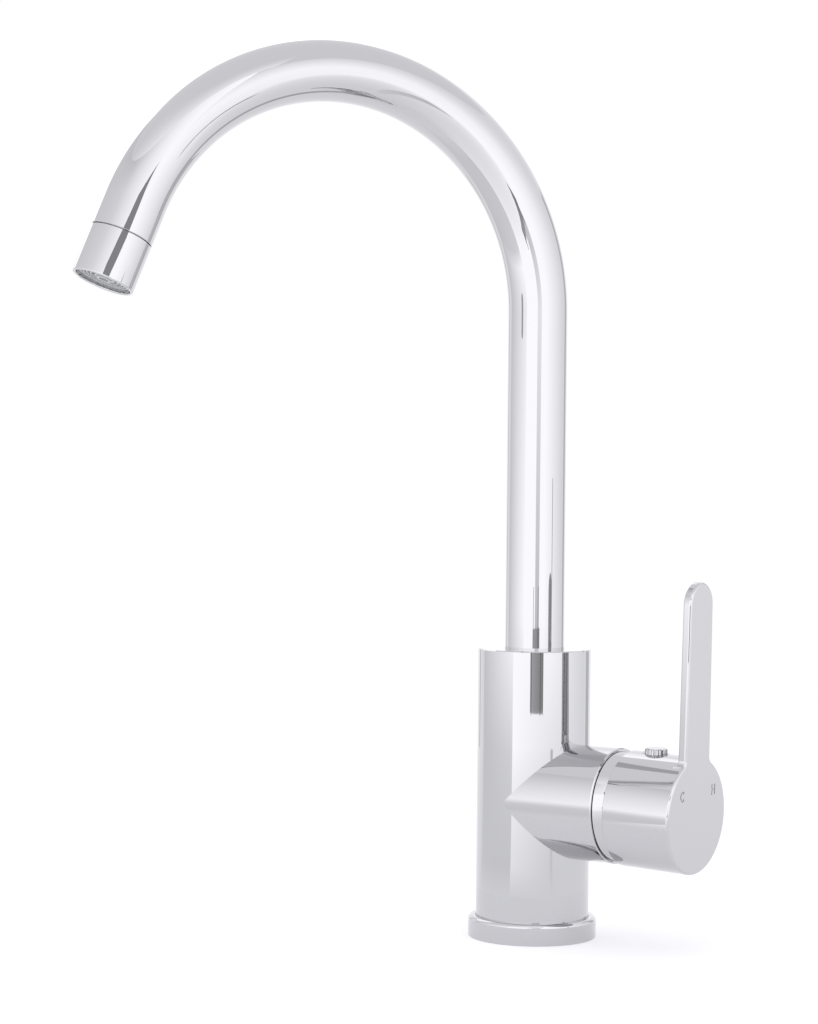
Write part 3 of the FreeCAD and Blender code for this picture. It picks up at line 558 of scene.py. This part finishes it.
def moulded_rubber():
    """EPDM rubber from a mould: near black, matt, with a faint bloom."""
    material = new_material("moulded_rubber")
    tree = material.node_tree
    place = add(tree, "ShaderNodeTexCoord", {}, {})
    bloom_mm = 2.5
    bloom = add(tree, "ShaderNodeTexNoise", {}, {"Vector": place.outputs["Object"],
                                                 "Scale": 1000 / bloom_mm, "Detail": 4.0})
    tone = add(tree, "ShaderNodeMix", {"data_type": "RGBA"}, {0: bloom.outputs[0],
                                                              6: colour("#19191a"),
                                                              7: colour("#29292b")})
    dull = add(tree, "ShaderNodeMapRange", {}, {"Value": bloom.outputs[0], "To Min": 0.55,
                                                "To Max": 0.75})
    rubber = add(tree, "ShaderNodeBsdfPrincipled", {}, {
        "Base Color": tone.outputs[2], "Roughness": dull.outputs[0], "IOR": 1.52})
    add(tree, "ShaderNodeOutputMaterial", {}, {"Surface": rubber.outputs[0]})
    return material


RUBBER = moulded_rubber()


def round_face_smoothing():
    """Smooths round faces and keeps edges over 30 degrees sharp, on a part's own mesh."""
    tree = bpy.data.node_groups.new("round_faces_smooth", "GeometryNodeTree")
    for way in ("INPUT", "OUTPUT"):
        tree.interface.new_socket("Geometry", in_out=way, socket_type="NodeSocketGeometry")
    given = add(tree, "NodeGroupInput", {}, {})
    turn = add(tree, "GeometryNodeInputMeshEdgeAngle", {}, {})
    edge = add(tree, "ShaderNodeMath", {"operation": "GREATER_THAN"},
               {0: turn.outputs[0], 1: math.radians(30)})
    smooth = add(tree, "GeometryNodeSetShadeSmooth", {"domain": "FACE"},
                 {"Geometry": given.outputs[0], "Shade Smooth": True})
    sharp = add(tree, "GeometryNodeSetShadeSmooth", {"domain": "EDGE"},
                {"Geometry": smooth.outputs[0], "Selection": edge.outputs[0],
                 "Shade Smooth": False})
    add(tree, "NodeGroupOutput", {}, {"Geometry": sharp.outputs[0]})
    return tree


SMOOTHING = round_face_smoothing()


def finish_nodes(material, *names):
    """Gives CAD nodes their real material, and smooth shading on round faces."""
    for name in names:
        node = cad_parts[name]
        for slot in node.material_slots:
            slot.material = material
        node.modifiers.new("round_faces", "NODES").node_group = SMOOTHING


finish_nodes(RUBBER, "base_gasket")


# Gooseneck
# A plated brass tube of 25 mm, drawn and bent to a round arch of a little less than half a turn.
# It stands in the column's bore and turns there.
SPOUT_R = 12.5
SPOUT_WALL = 1.2
SPOUT_FOOT = 117.5
SPOUT_AZIMUTH = 242.0
ARC_R = 93.86
ARC_Z = 263.4
ARC_TURN = 157.7
ARC_STEPS = 160
OUTLET_RUN = 14.4
TUBE_STEPS = 96
TUBE_EDGE = 0.2

spout_way = Vector((math.cos(math.radians(SPOUT_AZIMUTH)), math.sin(math.radians(SPOUT_AZIMUTH)), 0))
spout_side = Vector((-spout_way.y, spout_way.x, 0))
upward = Vector((0, 0, 1))


def neck_place(turn, run):
    """A ring's place: so far round the arch, and so far on along the tube from there."""
    angle = math.radians(turn)
    centre = spout_way * ARC_R * (1 - math.cos(angle)) + upward * (ARC_Z + ARC_R * math.sin(angle))
    outward = spout_way * math.cos(angle) - upward * math.sin(angle)
    onward = spout_way * math.sin(angle) + upward * math.cos(angle)
    place = Matrix((outward, spout_side, onward)).transposed().to_4x4()
    return Matrix.Translation(centre + onward * run) @ place


def gooseneck_shape():
    """Rings up the outside of the tube, over its end and back down the inside."""
    inner = SPOUT_R - SPOUT_WALL
    turns = [ARC_TURN * k / ARC_STEPS for k in range(ARC_STEPS + 1)]
    rings = [(SPOUT_R, neck_place(0, SPOUT_FOOT - ARC_Z))]
    rings += [(SPOUT_R, neck_place(turn, 0)) for turn in turns]
    rings += [(SPOUT_R, neck_place(ARC_TURN, OUTLET_RUN - TUBE_EDGE)),
              (SPOUT_R - TUBE_EDGE, neck_place(ARC_TURN, OUTLET_RUN)),
              (inner, neck_place(ARC_TURN, OUTLET_RUN))]
    rings += [(inner, neck_place(turn, 0)) for turn in reversed(turns)]
    rings += [(inner, neck_place(0, SPOUT_FOOT - ARC_Z))]
    points = []
    for radius, place in rings:
        for step in range(TUBE_STEPS):
            angle = 2 * math.pi * step / TUBE_STEPS
            points.append(place @ Vector((radius * math.cos(angle), radius * math.sin(angle), 0)))
    faces = []
    for k in range(len(rings)):
        here = k * TUBE_STEPS
        there = (k + 1) % len(rings) * TUBE_STEPS
        for step in range(TUBE_STEPS):
            ahead = (step + 1) % TUBE_STEPS
            faces.append((here + step, here + ahead, there + ahead, there + step))
    return points, faces


make_piece("gooseneck_tube", gooseneck_shape(), CHROME, "spout", "spout_tube")


# Outlet sleeve
# A short plated ring screwed on the end of the tube, with a fine joint line above it and a thin
# bright rim round the outlet.
NOZZLE_LENGTH = 20.15
JOINT_LINE = 0.25
SLEEVE_START = OUTLET_RUN + JOINT_LINE
SLEEVE_END = OUTLET_RUN + NOZZLE_LENGTH
SLEEVE_BORE_R = 11.2
SLEEVE_BORE_MIDDLE = OUTLET_RUN + 5.0
SLEEVE_EDGE = 0.3
RIM_ROUND = 0.55

sleeve_profile = rounded([
    (SLEEVE_BORE_R, SLEEVE_START, 0), (SPOUT_R - SLEEVE_EDGE, SLEEVE_START, 0),
    (SPOUT_R, SLEEVE_START + SLEEVE_EDGE, 0), (SPOUT_R, SLEEVE_END, RIM_ROUND),
    (SLEEVE_BORE_R, SLEEVE_END, RIM_ROUND), (SLEEVE_BORE_R, SLEEVE_BORE_MIDDLE, 0)])
make_piece("outlet_sleeve", turned(sleeve_profile, neck_place(ARC_TURN, 0)), CHROME, "spout",
           "nozzle_sleeve")


# Outlet insides
# Two waters leave side by side: the mixed water through a ring of ribs moulded in grey acetal
# over a steel screen, and the filtered water through a small jet of its own in the middle.

def moulded_acetal(name, shade, light):
    """Acetal from a mould: an even tint, half matt, with the mould's fine spark texture."""
    material = new_material(name)
    tree = material.node_tree
    place = add(tree, "ShaderNodeTexCoord", {}, {})
    spark_mm = 0.6
    cloud_mm = 3.0
    spark = add(tree, "ShaderNodeTexNoise", {}, {"Vector": place.outputs["Object"],
                                                 "Scale": 1000 / spark_mm, "Detail": 2.0})
    cloud = add(tree, "ShaderNodeTexNoise", {}, {"Vector": place.outputs["Object"],
                                                 "Scale": 1000 / cloud_mm, "Detail": 2.0})
    tone = add(tree, "ShaderNodeMix", {"data_type": "RGBA"}, {0: cloud.outputs[0],
                                                              6: colour(shade), 7: colour(light)})
    dull = add(tree, "ShaderNodeMapRange", {}, {"Value": spark.outputs[0], "To Min": 0.32,
                                                "To Max": 0.46})
    bump = add(tree, "ShaderNodeBump", {}, {"Height": spark.outputs[0], "Strength": 0.1,
                                            "Distance": 0.00002})
    plastic = add(tree, "ShaderNodeBsdfPrincipled", {}, {
        "Base Color": tone.outputs[2], "Roughness": dull.outputs[0], "IOR": 1.48,
        "Normal": bump.outputs[0]})
    add(tree, "ShaderNodeOutputMaterial", {}, {"Surface": plastic.outputs[0]})
    return material


def turned_metal(name, shade, light, dullest):
    """Bare metal as it leaves the lathe: a fine uneven grain, satin and not mirror bright."""
    material = new_material(name)
    tree = material.node_tree
    place = add(tree, "ShaderNodeTexCoord", {}, {})
    feed_mm = 0.25
    grain = add(tree, "ShaderNodeTexNoise", {}, {"Vector": place.outputs["Object"],
                                                 "Scale": 1000 / feed_mm, "Detail": 3.0})
    tone = add(tree, "ShaderNodeMix", {"data_type": "RGBA"}, {0: grain.outputs[0],
                                                              6: colour(shade), 7: colour(light)})
    dull = add(tree, "ShaderNodeMapRange", {}, {"Value": grain.outputs[0],
                                                "To Min": dullest * 0.65, "To Max": dullest})
    metal = add(tree, "ShaderNodeBsdfPrincipled", {}, {
        "Base Color": tone.outputs[2], "Metallic": 1.0, "Roughness": dull.outputs[0]})
    add(tree, "ShaderNodeOutputMaterial", {}, {"Surface": metal.outputs[0]})
    return material


GREY_ACETAL = moulded_acetal("grey_acetal", "#cbcdd0", "#d9dadd")
WHITE_ACETAL = moulded_acetal("white_acetal", "#e2e1dc", "#ecebe7")
STEEL = turned_metal("turned_stainless_steel", "#bcbdbf", "#d2d3d4", 0.32)
BRASS = turned_metal("machined_brass", "#c39a52", "#dcb873", 0.34)

finish_nodes(GREY_ACETAL, "aerator_housing", "filtered_jet")
# The brass core is plated like the sleeve, because its edge shows in the joint line.
finish_nodes(CHROME, "nozzle_core")
finish_nodes(STEEL, "aerator_screen")
finish_nodes(RUBBER, "aerator_seal")


# Swivel and filtered tube
# The gooseneck turns on a brass foot with plastic bearing rings and rubber rings, held by a set
# screw from the back. A thin white tube inside it carries the filtered water to the outlet.
finish_nodes(BRASS, "spout_foot", "filtered_tube_plug")
finish_nodes(WHITE_ACETAL, "spout_bearing_rings", "thrust_washer", "filtered_tube")
finish_nodes(RUBBER, "spout_o_rings", "plug_o_rings")
finish_nodes(STEEL, "spout_retaining_screw")


# Mixing cartridge
# A plastic cartridge with two lapped ceramic discs, clamped in the branch by a brass nut. Its
# turret turns with the lever, and a pin in it lets the lever tilt.

def lapped_ceramic():
    """Alumina ground and lapped flat: ivory white with a soft, even gloss."""
    material = new_material("lapped_ceramic")
    tree = material.node_tree
    place = add(tree, "ShaderNodeTexCoord", {}, {})
    grit_mm = 0.3
    grit = add(tree, "ShaderNodeTexNoise", {}, {"Vector": place.outputs["Object"],
                                                "Scale": 1000 / grit_mm, "Detail": 2.0})
    tone = add(tree, "ShaderNodeMix", {"data_type": "RGBA"}, {0: grit.outputs[0],
                                                              6: colour("#ece8de"),
                                                              7: colour("#f3f0e8")})
    dull = add(tree, "ShaderNodeMapRange", {}, {"Value": grit.outputs[0], "To Min": 0.16,
                                                "To Max": 0.26})
    ceramic = add(tree, "ShaderNodeBsdfPrincipled", {}, {
        "Base Color": tone.outputs[2], "Roughness": dull.outputs[0], "IOR": 1.76})
    add(tree, "ShaderNodeOutputMaterial", {}, {"Surface": ceramic.outputs[0]})
    return material


finish_nodes(lapped_ceramic(), "fixed_ceramic_disc", "moving_ceramic_disc")
finish_nodes(GREY_ACETAL, "cartridge_housing", "disc_carrier")
finish_nodes(WHITE_ACETAL, "cartridge_base", "cartridge_turret", "turret_washer")
finish_nodes(RUBBER, "base_seals")
finish_nodes(BRASS, "cartridge_nut")
finish_nodes(STEEL, "pivot_pin")


# Dome ring
# A plated brass ring, turned as part of a ball about the lever's pin, so that the handle's rim
# moves over it with an even gap. It screws into the mouth of the branch.
PIVOT_X = 36.0
DOME_R = 23.5
DOME_WALL = 1.6
DOME_GAP = 0.25
DOME_START = BRANCH_END + DOME_GAP - PIVOT_X
DOME_HOLE_ANGLE = 35.0
BALL_STEPS = 24
INNER_BALL_STEPS = 16


def ball_points(radius, first, last, count):
    """Points of a ball's profile about the pin, by angle from the branch's axis."""
    made = []
    for k in range(count + 1):
        angle = math.radians(first + (last - first) * k / count)
        made.append((radius * math.sin(angle), PIVOT_X + radius * math.cos(angle)))
    return made


along_branch = Matrix.Translation((0, 0, BRANCH_Z)) @ Matrix.Rotation(math.radians(90), 4, "Y")
outer_start = math.degrees(math.acos(DOME_START / DOME_R))
inner_start = math.degrees(math.acos(DOME_START / (DOME_R - DOME_WALL)))
dome_profile = ball_points(DOME_R, outer_start, DOME_HOLE_ANGLE, BALL_STEPS)
dome_profile += ball_points(DOME_R - DOME_WALL, DOME_HOLE_ANGLE, inner_start, INNER_BALL_STEPS)
make_piece("dome_cover_ring", turned(dome_profile, along_branch), CHROME, "tap_base", "dome_ring")
finish_nodes(RUBBER, "dome_seal")


# Lever handle
# One zinc casting, polished and plated: a round hub, a flat round front with softened edges and a
# flat blade that rises from it. It is hollowed as a ball about the pin, and its front is marked
# C and H by shallow engraving.
HUB_R = 23.9
HUB_BACK = 48.0
HUB_FRONT = 78.6
HUB_RIM_BREAK = 0.35
CAVITY_R = 25.1
BLADE_TOP = 95.0
BLADE_WIDTH_TOP = 18.6
BLADE_TAPER = 0.7
BLADE_THICK = 3.9
JOIN_R = 3.0
FRONT_ROUND = 1.2
BACK_ROUND = 0.9
REST_TILT = 1.9
REST_TURN = 1.5
HUB_STEPS = 160
UNDER_BLADE_STEPS = 40
JOIN_STEPS = 12
BLADE_TOP_STEPS = 48
CORNER_STEPS = 8
WALL_ROWS = 20

pivot = Vector((PIVOT_X, 0, BRANCH_Z))
lever_rest = (Matrix.Translation(pivot) @ Matrix.Rotation(math.radians(REST_TURN), 4, "X")
              @ Matrix.Rotation(math.radians(REST_TILT), 4, "Y") @ Matrix.Translation(-pivot))


def arc_line(centre, radius, start, end, steps):
    """Points of an arc with its outward direction at each, by angles from +Y."""
    made = []
    for k in range(steps + 1):
        angle = start + (end - start) * k / steps
        way = Vector((math.cos(angle), math.sin(angle)))
        made.append((Vector(centre) + way * radius, way))
    return made


def handle_outline():
    """The front's outline as (point, outward way), round the hub first and then the blade, and the
    angle at which the blade leaves the hub."""
    taper = math.radians(BLADE_TAPER)
    top_r = BLADE_WIDTH_TOP / 2
    top_centre = BLADE_TOP - top_r
    side = top_r + top_centre * math.sin(taper)
    join_angle = taper + math.acos((side + JOIN_R) / (HUB_R + JOIN_R))
    join = Vector((math.cos(join_angle), math.sin(join_angle))) * (HUB_R + JOIN_R)
    hub = arc_line((0, 0), HUB_R, math.pi - join_angle, 2 * math.pi + join_angle, HUB_STEPS)
    right = arc_line(join, JOIN_R, math.pi + join_angle, math.pi + taper, JOIN_STEPS)
    top = arc_line((0, top_centre), top_r, taper, math.pi - taper, BLADE_TOP_STEPS)
    left = arc_line((-join.x, join.y), JOIN_R, -taper, -join_angle, JOIN_STEPS)
    outline = hub + [(spot, -way) for spot, way in right[1:]]
    outline += top + [(spot, -way) for spot, way in left[:-1]]
    return outline, join_angle


def handle_shape():
    """The handle as one closed skin: front, blade's back, hub wall, rim and hollow."""
    outline, join_angle = handle_outline()
    count = len(outline)
    points = []
    faces = []

    def level(spots, x):
        """Adds a loop of points at one distance along the hub's axis."""
        first = len(points)
        points.extend(Vector((x, spot.x, BRANCH_Z + spot.y)) for spot in spots)
        return first

    def join_levels(lower, upper, number):
        for k in range(number):
            ahead = (k + 1) % number
            faces.append((lower + k, lower + ahead, upper + ahead, upper + k))

    # The front face, with its edge rounded over.
    wall_front = level([spot for spot, way in outline], HUB_FRONT - FRONT_ROUND)
    edge = wall_front
    for step in range(1, CORNER_STEPS + 1):
        angle = math.pi / 2 * step / CORNER_STEPS
        inset = FRONT_ROUND * (1 - math.cos(angle))
        loop = level([spot - way * inset for spot, way in outline],
                     HUB_FRONT - FRONT_ROUND + FRONT_ROUND * math.sin(angle))
        join_levels(edge, loop, count)
        edge = loop
    faces.append(tuple(range(edge, edge + count)))

    # The blade's side and back edge, which is less rounded along the join with the hub.
    back_x = HUB_FRONT - BLADE_THICK
    blade = outline[HUB_STEPS:] + outline[:1]
    rounds = []
    for k in range(len(blade)):
        from_end = min(k, len(blade) - 1 - k)
        rounds.append(BACK_ROUND * min(1.0, from_end / JOIN_STEPS))
    previous = [wall_front + (HUB_STEPS + k) % count for k in range(len(blade))]
    for step in range(CORNER_STEPS + 1):
        angle = math.pi / 2 * step / CORNER_STEPS
        loop = []
        for (spot, way), radius in zip(blade, rounds):
            inner = spot - way * radius * (1 - math.cos(angle))
            loop.append(len(points))
            points.append(Vector((back_x + radius * (1 - math.sin(angle)), inner.x,
                                  BRANCH_Z + inner.y)))
        for k in range(len(blade) - 1):
            faces.append((previous[k], previous[k + 1], loop[k + 1], loop[k]))
        previous = loop

    # The hub's wall, from the front and from the blade's back to the rim, and the blade's back.
    around = [spot for spot, way in outline[:HUB_STEPS + 1]]
    for k in range(1, UNDER_BLADE_STEPS):
        angle = join_angle + (math.pi - 2 * join_angle) * k / UNDER_BLADE_STEPS
        around.append(Vector((math.cos(angle), math.sin(angle))) * HUB_R)
    ring = len(around)
    wall_length = HUB_BACK + HUB_RIM_BREAK - back_x
    lines = [level(around, back_x + wall_length * row / WALL_ROWS) for row in range(WALL_ROWS + 1)]
    for upper, lower in zip(lines, lines[1:]):
        join_levels(upper, lower, ring)
    for k in range(HUB_STEPS):
        faces.append((wall_front + k, wall_front + k + 1, lines[0] + k + 1, lines[0] + k))
    under_blade = [lines[0] + k for k in range(HUB_STEPS + 1, ring)]
    faces.append(tuple(previous + under_blade[::-1]))

    # The rim and the hollow.
    rim_inner = math.sqrt(CAVITY_R ** 2 - (HUB_BACK - PIVOT_X) ** 2)
    rim_angle = math.degrees(math.asin(rim_inner / CAVITY_R))
    profile = [(HUB_R - HUB_RIM_BREAK, HUB_BACK), (rim_inner, HUB_BACK)]
    profile += ball_points(CAVITY_R, rim_angle, 0, BALL_STEPS)[1:]
    last = lines[-1]
    for radius, x in profile:
        loop = level([spot / HUB_R * radius for spot in around], x)
        join_levels(last, loop, ring)
        last = loop
    return [lever_rest @ point for point in points], faces


def etched_chrome():
    """The floor of the engraved letters, plated with the rest but matt: it looks a little darker."""
    material = new_material("etched_chrome")
    tree = material.node_tree
    place = add(tree, "ShaderNodeTexCoord", {}, {})
    grain_mm = 0.15
    grain = add(tree, "ShaderNodeTexNoise", {}, {"Vector": place.outputs["Object"],
                                                 "Scale": 1000 / grain_mm, "Detail": 2.0})
    dull = add(tree, "ShaderNodeMapRange", {}, {"Value": grain.outputs[0], "To Min": 0.4,
                                                "To Max": 0.6})
    floor = add(tree, "ShaderNodeBsdfPrincipled", {}, {
        "Base Color": colour("#b4b4b7"), "Metallic": 1.0, "Roughness": dull.outputs[0]})
    add(tree, "ShaderNodeOutputMaterial", {}, {"Surface": floor.outputs[0]})
    return material


MARK_HEIGHT = 4.4
MARK_STROKE = 0.8
MARK_DEPTH = 0.2
COLD_MARK = (-12.4, 9.4)
COLD_WIDTH = 0.85 * MARK_HEIGHT
COLD_OPENING = 38
COLD_STEPS = 28
HOT_MARK = (13.2, 9.6)
HOT_WIDTH = 3.1


def letter_shape(outline):
    """A flat letter, given as an outline in the plane of the front, that reaches into the front."""
    points = []
    for x in (HUB_FRONT - MARK_DEPTH, HUB_FRONT + OVERCUT):
        points += [lever_rest @ Vector((x, y, BRANCH_Z + z)) for y, z in outline]
    count = len(outline)
    faces = [tuple(range(count)), tuple(range(2 * count - 1, count - 1, -1))]
    for k in range(count):
        ahead = (k + 1) % count
        faces.append((k, ahead, count + ahead, count + k))
    return points, faces


def cold_letter():
    """A C: an oval ring, open at the right."""
    y, z = COLD_MARK
    tall = MARK_HEIGHT / 2
    wide = COLD_WIDTH / 2
    gap = math.radians(COLD_OPENING)
    angles = [gap + (2 * math.pi - 2 * gap) * k / COLD_STEPS for k in range(COLD_STEPS + 1)]
    outline = [(y + wide * math.cos(a), z + tall * math.sin(a)) for a in angles]
    outline += [(y + (wide - MARK_STROKE) * math.cos(a), z + (tall - MARK_STROKE) * math.sin(a))
                for a in reversed(angles)]
    return outline


def hot_letter():
    """An H: two legs and a bar."""
    y, z = HOT_MARK
    tall = MARK_HEIGHT / 2
    wide = HOT_WIDTH / 2
    bar = MARK_STROKE / 2
    leg = wide - MARK_STROKE
    corners = [(-wide, -tall), (-leg, -tall), (-leg, -bar), (leg, -bar), (leg, -tall), (wide, -tall),
               (wide, tall), (leg, tall), (leg, bar), (-leg, bar), (-leg, tall), (-wide, tall)]
    return [(y + a, z + b) for a, b in corners]


BUTTON_X = 59.0
BUTTON_WELL_R = 5.6
BUTTON_WELL_FLOOR = 16.0
BUTTON_WELL_STEPS = 64
SET_SCREW_X = 67.0
PLUG_WELL_R = 3.2
PLUG_WELL_DEPTH = 5.0
WELL_OVERCUT = 3.0
ETCHED = etched_chrome()
button_line = lever_rest @ Matrix.Translation((BUTTON_X, 0, BRANCH_Z))
plug_line = lever_rest @ Matrix.Translation((SET_SCREW_X, 0, BRANCH_Z))
button_well = rod(BUTTON_WELL_R, BUTTON_WELL_FLOOR, HUB_R + WELL_OVERCUT, button_line,
                  BUTTON_WELL_STEPS)
plug_well = rod(PLUG_WELL_R, -HUB_R - WELL_OVERCUT, -HUB_R + PLUG_WELL_DEPTH, plug_line)
make_piece("handle_casting", handle_shape(), CHROME, "lever", "lever_handle", [
    (button_well, CHROME), (plug_well, CHROME),
    (letter_shape(cold_letter()), ETCHED), (letter_shape(hot_letter()), ETCHED)])
finish_nodes(STEEL, "lever_stem", "handle_set_screw")
finish_nodes(CHROME, "set_screw_plug")


# Catch button
# A small brass button, chrome plated, its side cut into sixteen flutes for the finger. It sits in
# a screwed ring on top of the hub, and a spring below pushes it up.
BUTTON_R = 4.7
BUTTON_PROUD = 2.0
BUTTON_CROWN = 0.5
BUTTON_FLANGE_R = 5.4
BUTTON_FLANGE = (20.2, 21.7)
SHANK_R = 2.4
SHANK_LOW = 13.0
FLUTES = 16
FLUTE_R = 0.55
FLUTE_CENTRE = BUTTON_R + 0.45 * FLUTE_R
BEZEL_INNER_R = 4.8
BEZEL_OUTER_R = 5.57
BEZEL_LOW = 21.8
BEZEL_SUNK = 0.1
BEZEL_BREAK = 0.12
BUTTON_STEPS = FLUTES * 14
BEZEL_STEPS = 96


def fluted_radius(angle):
    """The button's radius at an angle: round, but cut in at each flute."""
    pitch = 2 * math.pi / FLUTES
    off = (angle + pitch / 2) % pitch - pitch / 2
    across = FLUTE_CENTRE * math.sin(off)
    if abs(across) >= FLUTE_R:
        return BUTTON_R
    return min(BUTTON_R, FLUTE_CENTRE * math.cos(off) - math.sqrt(FLUTE_R ** 2 - across ** 2))


def turned_by_angle(profile_at, place, steps):
    """A closed shape about the local Z axis whose (radius, height) rows change with the angle."""
    points = []
    faces = []
    rows = len(profile_at(0.0))
    for step in range(steps):
        angle = 2 * math.pi * step / steps
        for radius, height in profile_at(angle):
            points.append(place @ Vector((radius * math.cos(angle), radius * math.sin(angle), height)))
        there = (step + 1) % steps * rows
        for row in range(rows - 1):
            here = step * rows + row
            faces.append((here, there + row, there + row + 1, here + 1))
    return points, faces


def button_profile(angle):
    """From the shank's end out over the hidden flange, up the fluted side and over the crown."""
    radius = fluted_radius(angle)
    top = HUB_R + BUTTON_PROUD
    low, high = BUTTON_FLANGE
    return [(0, SHANK_LOW), (SHANK_R, SHANK_LOW), (SHANK_R, low), (BUTTON_FLANGE_R, low),
            (BUTTON_FLANGE_R, high), (radius, high), (radius, top - BUTTON_CROWN + BUTTON_R - radius),
            (BUTTON_R - BUTTON_CROWN, top), (BUTTON_R - 2 * BUTTON_CROWN, top), (0, top)]


def bezel_profile(angle):
    """The ring's top follows the hub's round surface."""
    rows = [(BEZEL_INNER_R, BEZEL_LOW), (BEZEL_OUTER_R, BEZEL_LOW)]
    for radius, drop in ((BEZEL_OUTER_R, BEZEL_BREAK), (BEZEL_OUTER_R - BEZEL_BREAK, 0),
                         (BEZEL_INNER_R + BEZEL_BREAK, 0), (BEZEL_INNER_R, BEZEL_BREAK)):
        across = radius * math.sin(angle)
        rows.append((radius, math.sqrt((HUB_R - BEZEL_SUNK) ** 2 - across ** 2) - drop))
    return rows + [(BEZEL_INNER_R, BEZEL_LOW)]


make_piece("fluted_button", turned_by_angle(button_profile, button_line, BUTTON_STEPS), CHROME,
           "button", "catch_button")
make_piece("button_ring", turned_by_angle(bezel_profile, button_line, BEZEL_STEPS), CHROME,
           "lever", "button_bezel")


# Button spring
# A small coil of drawn stainless wire between the floor of the well and the button's flange, shaped at
# rest. It stays on the handle, and is not made to press together as the button goes down.
COIL_R = 4.2
WIRE_R = 0.25
COIL_TURNS = 3
COIL_STEPS = 120
WIRE_SIDES = 12
COIL_CLEARANCE = 0.02


def coil_shape():
    """Three turns of round wire, closed at both ends."""
    low = BUTTON_WELL_FLOOR + WIRE_R + COIL_CLEARANCE
    high = BUTTON_FLANGE[0] - WIRE_R - COIL_CLEARANCE
    points = []
    faces = []
    for step in range(COIL_STEPS + 1):
        share = step / COIL_STEPS
        angle = 2 * math.pi * COIL_TURNS * share
        outward = Vector((math.cos(angle), math.sin(angle), 0))
        centre = outward * COIL_R + Vector((0, 0, low + (high - low) * share))
        for side in range(WIRE_SIDES):
            turn = 2 * math.pi * side / WIRE_SIDES
            points.append(button_line @ (centre + outward * WIRE_R * math.cos(turn)
                                         + Vector((0, 0, WIRE_R * math.sin(turn)))))
    for step in range(COIL_STEPS):
        here = step * WIRE_SIDES
        for side in range(WIRE_SIDES):
            ahead = (side + 1) % WIRE_SIDES
            faces.append((here + side, here + ahead, here + WIRE_SIDES + ahead,
                          here + WIRE_SIDES + side))
    last = COIL_STEPS * WIRE_SIDES
    faces += [tuple(range(WIRE_SIDES)), tuple(range(last, last + WIRE_SIDES))]
    return points, faces


spring = make_piece("coil_spring", coil_shape(), STEEL, "lever", "button_spring")
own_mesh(spring)
